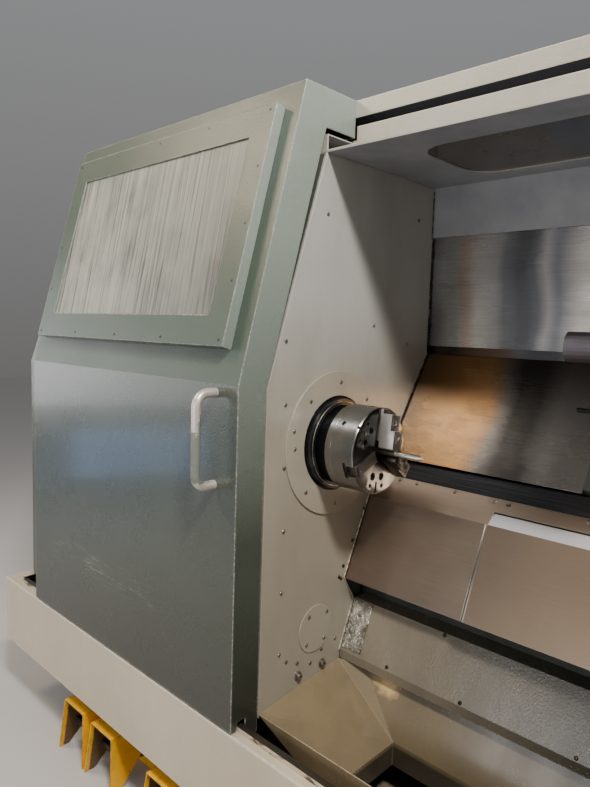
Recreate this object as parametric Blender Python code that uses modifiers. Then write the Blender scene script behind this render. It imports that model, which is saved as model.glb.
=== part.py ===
"""Slant-bed turning lathe with a sliding door, power chuck, turret, tailstock and foot pedals.

All lengths are in metres. The machine is laid out from its datum, the point where the
spindle axis meets the painted headstock wall: X runs along the spindle into the chamber,
Y to the back of the machine and Z up. The finished model stands on Z = 0.
"""

import math

import bmesh
import bpy
from mathutils import Matrix, Vector

# Driving dimensions of the whole machine.
spindle_height = 1.100
gap = 0.0003
overrun = 0.010
merge_distance = 0.00005
sheet = 0.003
tray_left = 1.250
tray_right = 1.650
front_reach = 0.331
back_reach = 0.660
ledge_drop = 0.641
tray_height = 0.226
ledge_width = 0.0425
round_segments = 48
small_segments = 24

# Sliding door.
door_width = 1.000
door_depth = 0.082
door_clearance = 0.005
fold_height = 0.157
top_height = 0.844
top_reach = 0.148
hook_reach = 0.030
hook_height = 0.089
notch_reach = 0.0765
leg_drop = 0.024
leg_depth = 0.038
rail_notch_height = 0.020
rail_notch_clearance = 0.004

# Headstock wall, canopy and the slope of the bed.
wall_thickness = 0.006
wall_offset = 0.0035
ceiling_drop = 0.1432
ceiling_height = top_height - ceiling_drop
beam_reach = 0.070
beam_height = 0.0416
ceiling_depth = 0.405
slant_angle = math.radians(58.5)
cover_distance = 0.2335
chamber_length = 1.200
housing_left = 1.215
housing_right = 1.620

# Spindle and chuck.
chuck_radius = 0.105
chuck_length = 0.087
chuck_face = 0.140
neck_radius = 0.0745

floor_z = -spindle_height
ledge_z = -ledge_drop
tray_floor_z = ledge_z - tray_height
door_front_y = -front_reach
door_bottom_z = ledge_z + door_clearance
door_back_y = door_front_y + door_depth
wall_front_y = door_back_y + wall_offset
lean_angle = math.atan2(front_reach - top_reach, top_height - fold_height)

handle_standoff = 0.054
handle_radius = 0.011
panel_depth = 0.050
button_length = 0.030
cabinet_depth = 0.220
cabinet_door_thickness = 0.020
cabinet_front_y = back_reach + gap
cabinet_door_y = cabinet_front_y + cabinet_depth + gap
front_most_y = door_front_y - 2 * gap - panel_depth - button_length
back_most_y = cabinet_door_y + cabinet_door_thickness


def clear_scene():
    for old in list(bpy.data.objects):
        bpy.data.objects.remove(old, do_unlink=True)


def new_collection(name):
    made = bpy.data.collections.new(name)
    bpy.context.scene.collection.children.link(made)
    return made


clear_scene()
parts = new_collection("cnc_turning_lathe")
cutters = new_collection("cutters")


def finish(name, colour, roughness, metallic):
    """One painted, ground or moulded finish."""
    made = bpy.data.materials.new(name)
    made.use_nodes = True
    shader = made.node_tree.nodes["Principled BSDF"]
    shader.inputs["Base Color"].default_value = (*colour, 1.0)
    shader.inputs["Roughness"].default_value = roughness
    shader.inputs["Metallic"].default_value = metallic
    return made


green_paint = finish("green_paint", (0.13, 0.16, 0.14), 0.35, 0.0)
cream_paint = finish("cream_paint", (0.52, 0.47, 0.38), 0.40, 0.0)
yellow_paint = finish("yellow_paint", (0.80, 0.42, 0.01), 0.45, 0.0)
dark_paint = finish("dark_paint", (0.05, 0.06, 0.07), 0.50, 0.0)
grey_casting = finish("grey_casting", (0.22, 0.24, 0.24), 0.55, 0.3)
bright_steel = finish("bright_steel", (0.62, 0.60, 0.58), 0.22, 1.0)
dark_steel = finish("dark_steel", (0.12, 0.12, 0.13), 0.35, 1.0)
stainless = finish("stainless", (0.52, 0.46, 0.40), 0.28, 1.0)
black_rubber = finish("black_rubber", (0.02, 0.02, 0.02), 0.65, 0.0)
clear_plastic = finish("clear_plastic", (0.45, 0.45, 0.42), 0.45, 0.0)
red_plastic = finish("red_plastic", (0.60, 0.02, 0.02), 0.35, 0.0)


def empty(name, location, parent=None, rotation=(0.0, 0.0, 0.0)):
    made = bpy.data.objects.new(name, None)
    made.location = location
    made.rotation_euler = rotation
    made.parent = parent
    parts.objects.link(made)
    return made


centre_x = (tray_right - tray_left) / 2
centre_y = (front_most_y + back_most_y) / 2
datum = empty("spindle_datum", (-centre_x, -centre_y, spindle_height))


def place(name, mesh, look, parent=datum, location=(0.0, 0.0, 0.0), rotation=(0.0, 0.0, 0.0)):
    """Put a mesh in the machine as one named part."""
    mesh.name = name
    made = bpy.data.objects.new(name, mesh)
    made.location = location
    made.rotation_euler = rotation
    made.parent = parent
    mesh.materials.append(look)
    parts.objects.link(made)
    return made


def tool(name, mesh, parent=datum, location=(0.0, 0.0, 0.0), rotation=(0.0, 0.0, 0.0)):
    """A shape that is cut from a part, or joined to it."""
    made = bpy.data.objects.new(name, mesh)
    made.location = location
    made.rotation_euler = rotation
    made.parent = parent
    made.display_type = "WIRE"
    made.hide_render = True
    cutters.objects.link(made)
    return made


def combine(part, other, operation):
    step = part.modifiers.new(operation.lower(), "BOOLEAN")
    step.operation = operation
    step.solver = "EXACT"
    step.object = other


def cut(part, other):
    combine(part, other, "DIFFERENCE")


def join(part, other):
    combine(part, other, "UNION")


def mesh_of(shape):
    made = bpy.data.meshes.new("shape")
    shape.to_mesh(made)
    shape.free()
    return made


def box(low, high):
    """A block between two opposite corners."""
    low = Vector(low)
    high = Vector(high)
    shape = bmesh.new()
    bmesh.ops.create_cube(shape, size=1.0)
    bmesh.ops.scale(shape, vec=high - low, verts=shape.verts)
    bmesh.ops.translate(shape, vec=(high + low) / 2, verts=shape.verts)
    return mesh_of(shape)


def cylinder_x(radius, x_low, x_high, centre=(0.0, 0.0), segments=round_segments):
    """A round bar along X, centred at the given (y, z)."""
    shape = bmesh.new()
    bmesh.ops.create_cone(shape, cap_ends=True, segments=segments, radius1=radius,
                          radius2=radius, depth=x_high - x_low)
    turn = Matrix.Rotation(math.pi / 2, 4, "Y")
    place_at = Matrix.Translation(((x_low + x_high) / 2, centre[0], centre[1]))
    bmesh.ops.transform(shape, matrix=place_at @ turn, verts=shape.verts)
    made = mesh_of(shape)
    smooth(made)
    return made


def smooth(mesh):
    mesh.shade_smooth()
    mesh.set_sharp_from_angle(angle=math.radians(35))


def outline_to_mesh(outlines, depth):
    """A flat filled outline in X and Y, with a thickness about Z = 0."""
    data = bpy.data.curves.new("outline", "CURVE")
    data.dimensions = "2D"
    data.fill_mode = "BOTH"
    data.extrude = depth / 2
    for outline in outlines:
        spline = data.splines.new("POLY")
        spline.points.add(len(outline) - 1)
        for point, (across, up) in zip(spline.points, outline):
            point.co = (across, up, 0.0, 1.0)
        spline.use_cyclic_u = True
    carrier = bpy.data.objects.new("outline", data)
    cutters.objects.link(carrier)
    bpy.context.view_layer.update()
    graph = bpy.context.evaluated_depsgraph_get()
    made = bpy.data.meshes.new_from_object(carrier.evaluated_get(graph))
    bpy.data.objects.remove(carrier, do_unlink=True)
    shape = bmesh.new()
    shape.from_mesh(made)
    bmesh.ops.remove_doubles(shape, verts=shape.verts, dist=merge_distance)
    bmesh.ops.recalc_face_normals(shape, faces=shape.faces)
    shape.to_mesh(made)
    shape.free()
    return made


def profile_x(outlines, x_low, x_high):
    """Outlines in (y, z), filled and drawn out along X."""
    made = outline_to_mesh(outlines, x_high - x_low)
    swap = Matrix(((0, 0, 1, 0), (1, 0, 0, 0), (0, 1, 0, 0), (0, 0, 0, 1)))
    made.transform(Matrix.Translation(((x_low + x_high) / 2, 0.0, 0.0)) @ swap)
    return made


def folded_x(path, x_low, x_high):
    """An open surface that follows a path in (y, z) and runs along X."""
    shape = bmesh.new()
    ends = [shape.verts.new((x_low, y, z)) for y, z in path]
    edges = [shape.edges.new(pair) for pair in zip(ends, ends[1:])]
    drawn = bmesh.ops.extrude_edge_only(shape, edges=edges)
    moved = [item for item in drawn["geom"] if isinstance(item, bmesh.types.BMVert)]
    bmesh.ops.translate(shape, vec=(x_high - x_low, 0.0, 0.0), verts=moved)
    return mesh_of(shape)


def thicken(part, thickness, side):
    step = part.modifiers.new("sheet", "SOLIDIFY")
    step.thickness = thickness
    step.offset = side
    step.use_even_offset = True
    step.use_quality_normals = True


def turned(name, profile, look, parent=datum, location=(0.0, 0.0, 0.0), closed=False,
           segments=round_segments):
    """A part turned about X. The profile holds (radius, x) and runs from right to left."""
    shape = bmesh.new()
    points = [shape.verts.new((radius, 0.0, x)) for radius, x in profile]
    ring = points + points[:1] if closed else points
    for pair in zip(ring, ring[1:]):
        shape.edges.new(pair)
    part = place(name, mesh_of(shape), look, parent, location, (0.0, math.pi / 2, 0.0))
    spin = part.modifiers.new("turning", "SCREW")
    spin.steps = segments
    spin.render_steps = segments
    spin.use_merge_vertices = True
    spin.merge_threshold = merge_distance
    spin.use_smooth_shade = False
    return part


def circle(radius, centre, segments=round_segments):
    turn = 2 * math.pi / segments
    return [(centre[0] + radius * math.cos(i * turn), centre[1] + radius * math.sin(i * turn))
            for i in range(segments)]


def hole_radius(shaft_radius, segments=round_segments):
    """A faceted bore whose flats clear a shaft by the gap."""
    return (shaft_radius + gap) / math.cos(math.pi / segments)


def on_slope(along, out):
    """The (y, z) of a point measured up the slant and out from the spindle axis."""
    across = math.cos(slant_angle)
    up = math.sin(slant_angle)
    return (along * across - out * up, along * up + out * across)


def line_meets_y(along_start, out, y):
    """The (y, z) where a line that runs up the slant at this distance reaches a given Y."""
    along = (y + out * math.sin(slant_angle)) / math.cos(slant_angle)
    return on_slope(max(along, along_start), out)


# Base casting: a cast-iron box on four levelled corner feet.
base_left = 1.100
base_right = 1.450
base_front_y = -0.130
base_back_inset = 0.060
base_back_y = back_reach - base_back_inset
foot_height = 0.030
foot_length = 0.200


def make_base():
    base = place("base_casting", box((-base_left, base_front_y, floor_z),
                                     (base_right, base_back_y, tray_floor_z - gap)), grey_casting)
    along = tool("base_channel_along", box(
        (-base_left - overrun, base_front_y + foot_length, floor_z - overrun),
        (base_right + overrun, base_back_y - foot_length, floor_z + foot_height)))
    across = tool("base_channel_across", box(
        (-base_left + foot_length, base_front_y - overrun, floor_z - overrun),
        (base_right - foot_length, base_back_y + overrun, floor_z + foot_height)))
    cut(base, along)
    cut(base, across)


# Coolant tray: a folded pan with a lip turned in all round.
def make_tray():
    shape = bmesh.new()
    low = Vector((-tray_left, door_front_y, tray_floor_z))
    high = Vector((tray_right, back_reach, ledge_z))
    bmesh.ops.create_cube(shape, size=1.0)
    bmesh.ops.scale(shape, vec=high - low, verts=shape.verts)
    bmesh.ops.translate(shape, vec=(high + low) / 2, verts=shape.verts)
    shape.normal_update()
    top = [face for face in shape.faces if face.normal.z > 0.5]
    bmesh.ops.inset_region(shape, faces=top, thickness=ledge_width, use_even_offset=True)
    bmesh.ops.delete(shape, geom=top, context="FACES")
    tray = place("coolant_tray", mesh_of(shape), cream_paint)
    thicken(tray, sheet, -1.0)


# Door rails: a flat bar on the tray's lip, and one inside the canopy.
rail_front_gap = 0.023
rail_width = 0.017
rail_height = 0.011
rail_overhang = 0.160
top_rail_y = 0.038
top_rail_width = 0.022
top_rail_height = 0.0096
rail_front_y = door_front_y + rail_front_gap
rail_back_y = rail_front_y + rail_width
beam_top_z = ceiling_height + beam_height


def make_rails():
    rail = box((-door_width - rail_overhang, rail_front_y, ledge_z + gap),
               (door_width, rail_back_y, ledge_z + rail_height))
    place("door_bottom_rail", rail, dark_steel)
    top = box((-door_width - rail_overhang, top_rail_y, beam_top_z + gap),
              (door_width, top_rail_y + top_rail_width, beam_top_z + gap + top_rail_height))
    place("door_top_rail", top, dark_steel)


# Slant bed: cast iron, with two raised ways for the carriage and bearings for its screw.
bed_left = 0.750
bed_right = 1.550
bed_out = 0.330
bed_top_along = 0.470
bed_back_clearance = 0.050
bed_back_y = back_reach - bed_back_clearance
bed_front_y = 0.160
bed_front_z = -0.360
way_out = 0.300
way_width = 0.040
low_way_along = 0.090
high_way_along = 0.400
screw_radius = 0.0125
screw_along = 0.260
screw_block_length = 0.050
screw_block_width = 0.060
screw_block_out = 0.295
screw_left = 0.500
screw_right = 1.480
screw_out = (bed_out + way_out) / 2


def bed_outline():
    points = [on_slope(0.0, -bed_out)]
    for start in (low_way_along, high_way_along):
        points.append(on_slope(start, -bed_out))
        points.append(on_slope(start, -way_out))
        points.append(on_slope(start + way_width, -way_out))
        points.append(on_slope(start + way_width, -bed_out))
    top = on_slope(bed_top_along, -bed_out)
    points.append(top)
    points.append((bed_back_y, top[1]))
    points.append((bed_back_y, tray_floor_z + sheet + gap))
    points.append((bed_front_y, tray_floor_z + sheet + gap))
    points.append((bed_front_y, bed_front_z))
    return points


def make_bed():
    bed = place("slant_bed", profile_x([bed_outline()], -bed_left, bed_right), grey_casting)
    half = screw_block_width / 2
    block = [on_slope(screw_along - half, -bed_out - overrun),
             on_slope(screw_along - half, -screw_block_out),
             on_slope(screw_along + half, -screw_block_out),
             on_slope(screw_along + half, -bed_out - overrun)]
    left_end = -screw_left - gap
    right_end = screw_right + gap
    join(bed, tool("left_bearing", profile_x([block], left_end - screw_block_length, left_end)))
    join(bed, tool("right_bearing", profile_x([block], right_end, right_end + screw_block_length)))


# Tailstock way: a ground steel strip below the slanted cover.
tail_way_low = 0.015
tail_way_step = 0.036
tail_way_high = 0.067
tail_way_out = 0.2348
tail_way_recess = 0.010


def make_tail_way():
    outline = [on_slope(tail_way_low, -bed_out + gap), on_slope(tail_way_low, -tail_way_out),
               on_slope(tail_way_step, -tail_way_out),
               on_slope(tail_way_step, -tail_way_out - tail_way_recess),
               on_slope(tail_way_high, -tail_way_out - tail_way_recess),
               on_slope(tail_way_high, -bed_out + gap)]
    place("tailstock_way", profile_x([outline], sheet, chamber_length - sheet), dark_steel)


# Headstock casting, wall, cover plates and seal ring.
headstock_length = 0.700
headstock_half = 0.170
headstock_corner = 0.050
column_front_y = -0.150
column_back_y = 0.140
column_neck = 0.020
plate_radius = 0.183
plate_thickness = 0.004
plate_bore = 0.121
seal_radius = 0.114
seal_length = 0.018
access_radius = 0.062
access_y = -0.052
access_z = -0.476
cover_seam = 0.0025
guard_knee = (0.156, -0.164)
guard_foot = (0.062, -0.374)
apron_top = (0.107, -0.441)
apron_foot = (0.053, -0.569)
strip_depth = 0.1408
strip_height = ceiling_height - strip_depth
upper_cover_y = 0.4115
cover_top_z = 0.5745
cover_bottom_along = 0.0686
strip_clearance = 0.001
spindle_bore = hole_radius(neck_radius)


def make_headstock():
    low_z = tray_floor_z + sheet + gap
    half = headstock_half
    side = headstock_half - headstock_corner
    neck = side + column_neck
    outline = [(column_front_y, low_z), (column_back_y, low_z), (column_back_y, -neck),
               (half, -side), (half, side), (side, half), (-side, half), (-half, side),
               (-half, -side), (column_front_y, -neck)]
    front = -wall_thickness - gap
    body = profile_x([outline, circle(spindle_bore, (0.0, 0.0))], front - headstock_length, front)
    place("headstock_casting", body, grey_casting)


def wall_outline():
    """The painted wall ends in front of the covers, the guards and the apron."""
    front_y = ceiling_depth - strip_clearance
    cover_y = upper_cover_y - cover_seam
    near = -cover_distance + cover_seam
    top_z = ceiling_height - gap
    return [(wall_front_y, door_bottom_z), (wall_front_y, fold_height - wall_offset * 4),
            (-beam_reach, top_z), (front_y, top_z), (front_y, strip_height - strip_clearance),
            (cover_y, strip_height - strip_clearance), line_meets_y(0.0, near, cover_y),
            on_slope(tail_way_low - cover_seam, near),
            (guard_knee[0] - cover_seam, guard_knee[1] + cover_seam),
            (guard_foot[0] - cover_seam, guard_foot[1] + cover_seam),
            (apron_top[0] - cover_seam, apron_top[1] + cover_seam),
            (apron_foot[0] - cover_seam, apron_foot[1]),
            (apron_foot[0] - cover_seam, door_bottom_z)]


def make_walls():
    hole = circle(plate_bore, (0.0, 0.0))
    wall = profile_x([wall_outline(), hole], -wall_thickness, 0.0)
    place("headstock_wall", wall, cream_paint)
    right = profile_x([wall_outline()], chamber_length, chamber_length + wall_thickness)
    place("right_wall", right, cream_paint)
    ring = [(plate_bore, gap + plate_thickness), (plate_radius, gap + plate_thickness),
            (plate_radius, gap), (plate_bore, gap)]
    turned("spindle_cover_plate", ring, cream_paint, closed=True)
    disc = [(0.0, gap + plate_thickness / 2), (access_radius, gap + plate_thickness / 2),
            (access_radius, gap), (0.0, gap)]
    turned("access_cover", disc, cream_paint, location=(0.0, access_y, access_z), closed=False,
           segments=small_segments)
    seal = [(spindle_bore, seal_length), (seal_radius, seal_length),
            (seal_radius, -wall_thickness), (spindle_bore, -wall_thickness)]
    turned("spindle_seal_ring", seal, black_rubber, closed=True)


# Canopy: one folded sheet for ceiling, beam, roof and back, with a lamp behind glass.
roof_lip_height = 0.041
roof_lip_z = top_height - roof_lip_height
channel_back_y = 0.105
roof_back_inset = 0.005
roof_back_y = back_reach - roof_back_inset
lamp_left = 0.172
lamp_right = 0.800
lamp_front_y = 0.036
lamp_back_y = 0.332
lamp_corner = 0.075
lamp_overlap = 0.015
lamp_thickness = 0.004
hanger_room_width = 0.087
corner_steps = 5


def rounded_outline(low, high, radius):
    points = []
    corners = (((high[0] - radius, high[1] - radius), 0.0),
               ((low[0] + radius, high[1] - radius), 0.5),
               ((low[0] + radius, low[1] + radius), 1.0),
               ((high[0] - radius, low[1] + radius), 1.5))
    for (x, y), start_share in corners:
        for step in range(corner_steps + 1):
            turn = math.pi * (start_share + step / corner_steps / 2)
            points.append((x + radius * math.cos(turn), y + radius * math.sin(turn)))
    return points


def make_canopy():
    path = [(ceiling_depth, strip_height), (ceiling_depth, ceiling_height),
            (-beam_reach, ceiling_height), (-beam_reach, beam_top_z),
            (channel_back_y, beam_top_z), (channel_back_y, roof_lip_z),
            (hook_reach, roof_lip_z), (hook_reach, top_height), (roof_back_y, top_height),
            (roof_back_y, ledge_z + gap)]
    left = -housing_left + sheet + gap
    right = housing_right - sheet - gap
    canopy = place("canopy", folded_x(path, left, right), cream_paint)
    thicken(canopy, sheet, -1.0)
    opening = outline_to_mesh([rounded_outline((lamp_left, lamp_front_y),
                                               (lamp_right, lamp_back_y), lamp_corner)],
                              beam_height)
    cut(canopy, tool("lamp_opening", opening, location=(0.0, 0.0, ceiling_height)))
    hanger_room = box((0.0, -beam_reach - overrun, ceiling_height + 2 * sheet),
                      (hanger_room_width, hook_reach, beam_top_z + overrun))
    cut(canopy, tool("hanger_room", hanger_room))
    over = lamp_overlap
    glass = outline_to_mesh([rounded_outline((lamp_left - over, lamp_front_y - over),
                                             (lamp_right + over, lamp_back_y + over),
                                             lamp_corner + over)], lamp_thickness)
    height = ceiling_height + sheet + gap + lamp_thickness / 2
    place("lamp_glass", glass, clear_plastic, location=(0.0, 0.0, height))


# Housings: the cream enclosure behind the open door, and the green one on the right.
def make_left_housing():
    top_z = ceiling_height - gap
    knee_z = fold_height - wall_offset * 4
    inner = sheet
    low_z = ledge_z + gap
    outer = [(wall_front_y, low_z), (wall_front_y, knee_z), (-beam_reach, top_z),
             (hook_reach, top_z), (hook_reach, top_height), (roof_back_y, top_height),
             (roof_back_y, low_z)]
    left = -housing_left
    housing = place("headstock_housing", profile_x([outer], left, -wall_thickness - gap),
                    cream_paint)
    low = low_z - overrun
    back = roof_back_y + overrun
    room = [(wall_front_y + inner, low), (wall_front_y + inner, knee_z),
            (-beam_reach + inner, top_z - overrun), (-beam_reach + inner, top_height + overrun),
            (back, top_height + overrun), (back, low)]
    cut(housing, tool("headstock_room", profile_x([room], left + inner, overrun)))


def make_right_housing():
    left = door_width + sheet
    right = housing_right
    low_z = ledge_z + gap
    outer = [(door_front_y, low_z), (door_front_y, fold_height), (-top_reach, top_height),
             (roof_back_y, top_height), (roof_back_y, low_z)]
    housing = place("right_housing", profile_x([outer], left, right), green_paint)
    lean = sheet * math.tan(lean_angle / 2)
    room = [(door_front_y + sheet, low_z - overrun), (door_front_y + sheet, fold_height - lean),
            (-top_reach + sheet, top_height - sheet), (hook_reach - gap, top_height - sheet),
            (hook_reach - gap, top_height + overrun),
            (roof_back_y + overrun, top_height + overrun), (roof_back_y + overrun, low_z - overrun)]
    cut(housing, tool("right_room", profile_x([room], left + sheet, right - sheet)))
    doorway = [(wall_front_y, low_z - overrun), (wall_front_y, fold_height),
               (-notch_reach, roof_lip_z - hook_height / 2),
               (hook_reach, roof_lip_z - hook_height / 2),
               (hook_reach, top_height + overrun), (roof_back_y + overrun, top_height + overrun),
               (roof_back_y + overrun, low_z - overrun)]
    cut(housing, tool("right_doorway", profile_x([doorway], left - overrun,
                                                 left + sheet + overrun)))


# Sliding door: a folded box, open at the back, with end plates that straddle the rail.
window_left = 0.957
window_right = 0.050
window_low = 0.079
window_high = 0.651
window_margin = 0.072
window_depth = 0.028
window_lip = 0.004
pane_overlap = 0.020
pane_thickness = 0.006
handle_x = 0.0755
handle_top_z = 0.1375
handle_low_z = -0.0718
handle_bend = 0.026
bend_steps = 5
roller_radius = 0.018
roller_width = 0.018
roller_axle = 0.006
roller_inset = 0.100


def door_outline():
    notch_z = top_height - hook_height
    knee_z = fold_height - wall_offset * 4 - gap
    leg_z = ledge_z - leg_drop
    slot_front_y = rail_front_y - rail_notch_clearance
    slot_back_y = rail_back_y + rail_notch_clearance
    slot_z = door_bottom_z + rail_notch_height
    hook_y = hook_reach - gap
    return [(door_front_y, door_bottom_z), (door_front_y, fold_height), (-top_reach, top_height),
            (hook_y, top_height), (hook_y, notch_z), (-notch_reach, notch_z),
            (door_back_y, knee_z), (door_back_y, leg_z), (slot_back_y, leg_z),
            (slot_back_y, slot_z), (slot_front_y, slot_z), (slot_front_y, door_bottom_z)]


def make_door(door):
    shell = place("door_shell", profile_x([door_outline()], -door_width, 0.0), green_paint, door)
    low = ledge_z - leg_drop - overrun
    notch_z = top_height - hook_height
    hook_y = hook_reach - gap - sheet
    lean = sheet * math.tan(lean_angle / 2)
    back_y = door_back_y + overrun
    room = [(door_front_y + sheet, low), (door_front_y + sheet, fold_height - lean),
            (-top_reach + sheet - lean, top_height - sheet), (hook_y, top_height - sheet),
            (hook_y, notch_z - overrun), (-notch_reach + overrun, notch_z - overrun),
            (back_y, fold_height - wall_offset * 4), (back_y, low)]
    cut(shell, tool("door_room", profile_x([room], -door_width + sheet, -sheet), door))
    slope = empty("door_slope", (0.0, door_front_y, fold_height), door, (-lean_angle, 0.0, 0.0))
    glass_left = -window_left + window_margin
    glass_right = -window_right - window_margin
    glass_low = window_low + window_margin
    glass_high = window_high - window_margin
    cut(shell, tool("window_opening", box((glass_left, -overrun, glass_low),
                                          (glass_right, overrun, glass_high)), slope))
    frame = place("window_frame", box((-window_left, -window_depth, window_low),
                                      (-window_right, -gap, window_high)), green_paint, slope)
    cut(frame, tool("frame_opening", box((glass_left, -window_depth - overrun, glass_low),
                                         (glass_right, overrun, glass_high)), slope))
    over = pane_overlap
    rebate = box((glass_left - over - gap, -window_depth + window_lip, glass_low - over - gap),
                 (glass_right + over + gap, overrun, glass_high + over + gap))
    cut(frame, tool("frame_rebate", rebate, slope))
    pane_front = -window_depth + window_lip + gap
    place("window_pane", box((glass_left - over, pane_front, glass_low - over),
                             (glass_right + over, pane_front + pane_thickness, glass_high + over)),
          clear_plastic, slope)
    make_handle(door)
    for side, x in (("left", -door_width + roller_inset), ("right", -roller_inset)):
        make_roller(door, side, x)


def handle_path():
    """The centre line of a bow handle with rounded corners, in (y, z) from the door's face."""
    out = -handle_standoff
    bend = handle_bend
    points = [(-gap, handle_top_z)]
    for step in range(bend_steps + 1):
        turn = math.pi / 2 * step / bend_steps
        points.append((out + bend - bend * math.sin(turn),
                       handle_top_z - bend + bend * math.cos(turn)))
    for step in range(bend_steps + 1):
        turn = math.pi / 2 * step / bend_steps
        points.append((out + bend - bend * math.cos(turn),
                       handle_low_z + bend - bend * math.sin(turn)))
    points.append((-gap, handle_low_z))
    return points


def make_handle(door):
    data = bpy.data.curves.new("door_handle", "CURVE")
    data.dimensions = "3D"
    data.bevel_depth = handle_radius
    data.bevel_resolution = 2
    data.use_fill_caps = True
    path = handle_path()
    spline = data.splines.new("POLY")
    spline.points.add(len(path) - 1)
    for point, (y, z) in zip(spline.points, path):
        point.co = (0.0, y, z, 1.0)
    data.materials.append(cream_paint)
    handle = bpy.data.objects.new("door_handle", data)
    handle.location = (-handle_x, door_front_y, 0.0)
    handle.parent = door
    parts.objects.link(handle)


def make_roller(door, side, x):
    """A roller turns about Y on its own axle, which passes into the door's hook."""
    height = beam_top_z + 2 * gap + top_rail_height + roller_radius
    axle = empty("roller_axle_" + side, (x, hook_reach, height), door)
    start = top_rail_y - hook_reach
    end = start + roller_width
    profile = [(0.0, end), (roller_radius, end), (roller_radius, start), (roller_axle, start),
               (roller_axle, 0.0), (0.0, 0.0)]
    shape = bmesh.new()
    points = [shape.verts.new((radius, 0.0, along)) for radius, along in profile]
    for pair in zip(points, points[1:]):
        shape.edges.new(pair)
    roller = place("door_roller_" + side, mesh_of(shape), dark_steel, axle,
                   (0.0, 0.0, 0.0), (-math.pi / 2, 0.0, 0.0))
    spin = roller.modifiers.new("turning", "SCREW")
    spin.steps = small_segments
    spin.render_steps = small_segments
    spin.use_merge_vertices = True
    spin.merge_threshold = merge_distance
    spin.use_smooth_shade = False


# Spindle, its rear cylinder and the belt drive.
flange_radius = 0.098
journal_radius = 0.045
journal_end = 0.800
pulley_radius = 0.110
pulley_start = 0.712
pulley_end = 0.790
cylinder_radius = 0.085
cylinder_length = 0.190
motor_radius = 0.120
motor_length = 0.300
motor_z = -0.700
motor_start = 0.800
motor_foot = 0.090
motor_pulley_radius = 0.075
motor_shaft_radius = 0.022
belt_thickness = 0.008
belt_inset = 0.006


def make_spindle(spindle):
    left = -headstock_length
    flange_back = seal_length + gap
    chuck_back = chuck_face - chuck_length
    profile = [(0.0, chuck_back - gap), (flange_radius, chuck_back - gap),
               (flange_radius, flange_back), (neck_radius, flange_back), (neck_radius, left),
               (journal_radius, left), (journal_radius, -journal_end), (0.0, -journal_end)]
    turned("spindle", profile, dark_steel, spindle)
    bore = hole_radius(journal_radius)
    ring = [(bore, -pulley_start), (pulley_radius, -pulley_start), (pulley_radius, -pulley_end),
            (bore, -pulley_end)]
    turned("spindle_pulley", ring, dark_steel, spindle, closed=True)
    start = -journal_end - gap
    end = start - cylinder_length
    body = [(0.0, start), (cylinder_radius, start), (cylinder_radius, end), (0.0, end)]
    turned("chuck_cylinder", body, bright_steel, spindle, segments=small_segments)


def belt_loop(extra):
    """The outline of the belt in (y, z), around both pulleys, at a distance from them."""
    top = hole_radius(pulley_radius) + extra
    low = hole_radius(motor_pulley_radius) + extra
    lean = math.asin((pulley_radius - motor_pulley_radius) / -motor_z)
    points = []
    steps = round_segments // 2
    for step in range(steps + 1):
        turn = -lean + (math.pi + 2 * lean) * step / steps
        points.append((top * math.cos(turn), top * math.sin(turn)))
    for step in range(steps + 1):
        turn = math.pi + lean + (math.pi - 2 * lean) * step / steps
        points.append((low * math.cos(turn), motor_z + low * math.sin(turn)))
    return points


def make_drive(motor_axis):
    left = -pulley_end + belt_inset
    right = -pulley_start - belt_inset
    place("drive_belt", profile_x([belt_loop(belt_thickness), belt_loop(0.0)], left, right),
          black_rubber)
    body = [(0.0, -motor_start), (motor_radius, -motor_start),
            (motor_radius, -motor_start - motor_length), (0.0, -motor_start - motor_length)]
    motor = turned("spindle_motor", body, dark_paint, location=(0.0, 0.0, motor_z),
                   segments=small_segments)
    inset = motor_length / 8
    foot = box((-motor_start - motor_length + inset, -motor_foot, tray_floor_z + sheet + gap),
               (-motor_start - inset, motor_foot, motor_z))
    join(motor, tool("motor_foot", foot))
    pulley = [(0.0, -pulley_start), (motor_pulley_radius, -pulley_start),
              (motor_pulley_radius, -pulley_end), (motor_shaft_radius, -pulley_end),
              (motor_shaft_radius, -motor_start + gap), (0.0, -motor_start + gap)]
    turned("motor_pulley", pulley, dark_steel, motor_axis)


# Chuck: a body with three tee slots, and jaws that slide in them.
jaw_angle = math.radians(82.5)
jaw_count = 3
chuck_bore = 0.026
slot_width = 0.028
tee_width = 0.042
slot_depth = 0.022
tee_depth = 0.010
slot_start = 0.018
jaw_start = 0.024
jaw_end = 0.101
jaw_proud = 0.006
top_jaw_width = 0.034
top_jaw_length = 0.040
top_jaw_step = 0.012
top_jaw_end = 0.090
top_jaw_step_radius = 0.052
bar_radius = 0.007
bar_tip = 0.262
bar_shoulder = 0.250
bolt_hole_radius = 0.0055
bolt_circle = 0.066
bolt_spread = math.radians(15.5)
bolt_depth = 0.015


def tee_outline(clearance, proud):
    """A tee across a slot: the first value runs across it and the second along X."""
    half = slot_width / 2 - clearance
    head = tee_width / 2 - clearance
    face = chuck_face + proud
    shoulder = chuck_face - slot_depth - clearance
    floor = chuck_face - slot_depth - tee_depth + clearance
    return [(-half, face), (-half, shoulder), (-head, shoulder), (-head, floor), (head, floor),
            (head, shoulder), (half, shoulder), (half, face)]


def radial(outline, inner, outer, angle):
    """Draw an outline of (across, x) out along a radius, at an angle about X."""
    made = outline_to_mesh([outline], outer - inner)
    lay = Matrix(((0, 1, 0, 0), (-1, 0, 0, 0), (0, 0, 1, 0), (0, 0, 0, 1)))
    move = Matrix.Translation((0.0, 0.0, (inner + outer) / 2))
    made.transform(Matrix.Rotation(angle - math.pi / 2, 4, "X") @ move @ lay)
    return made


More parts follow.
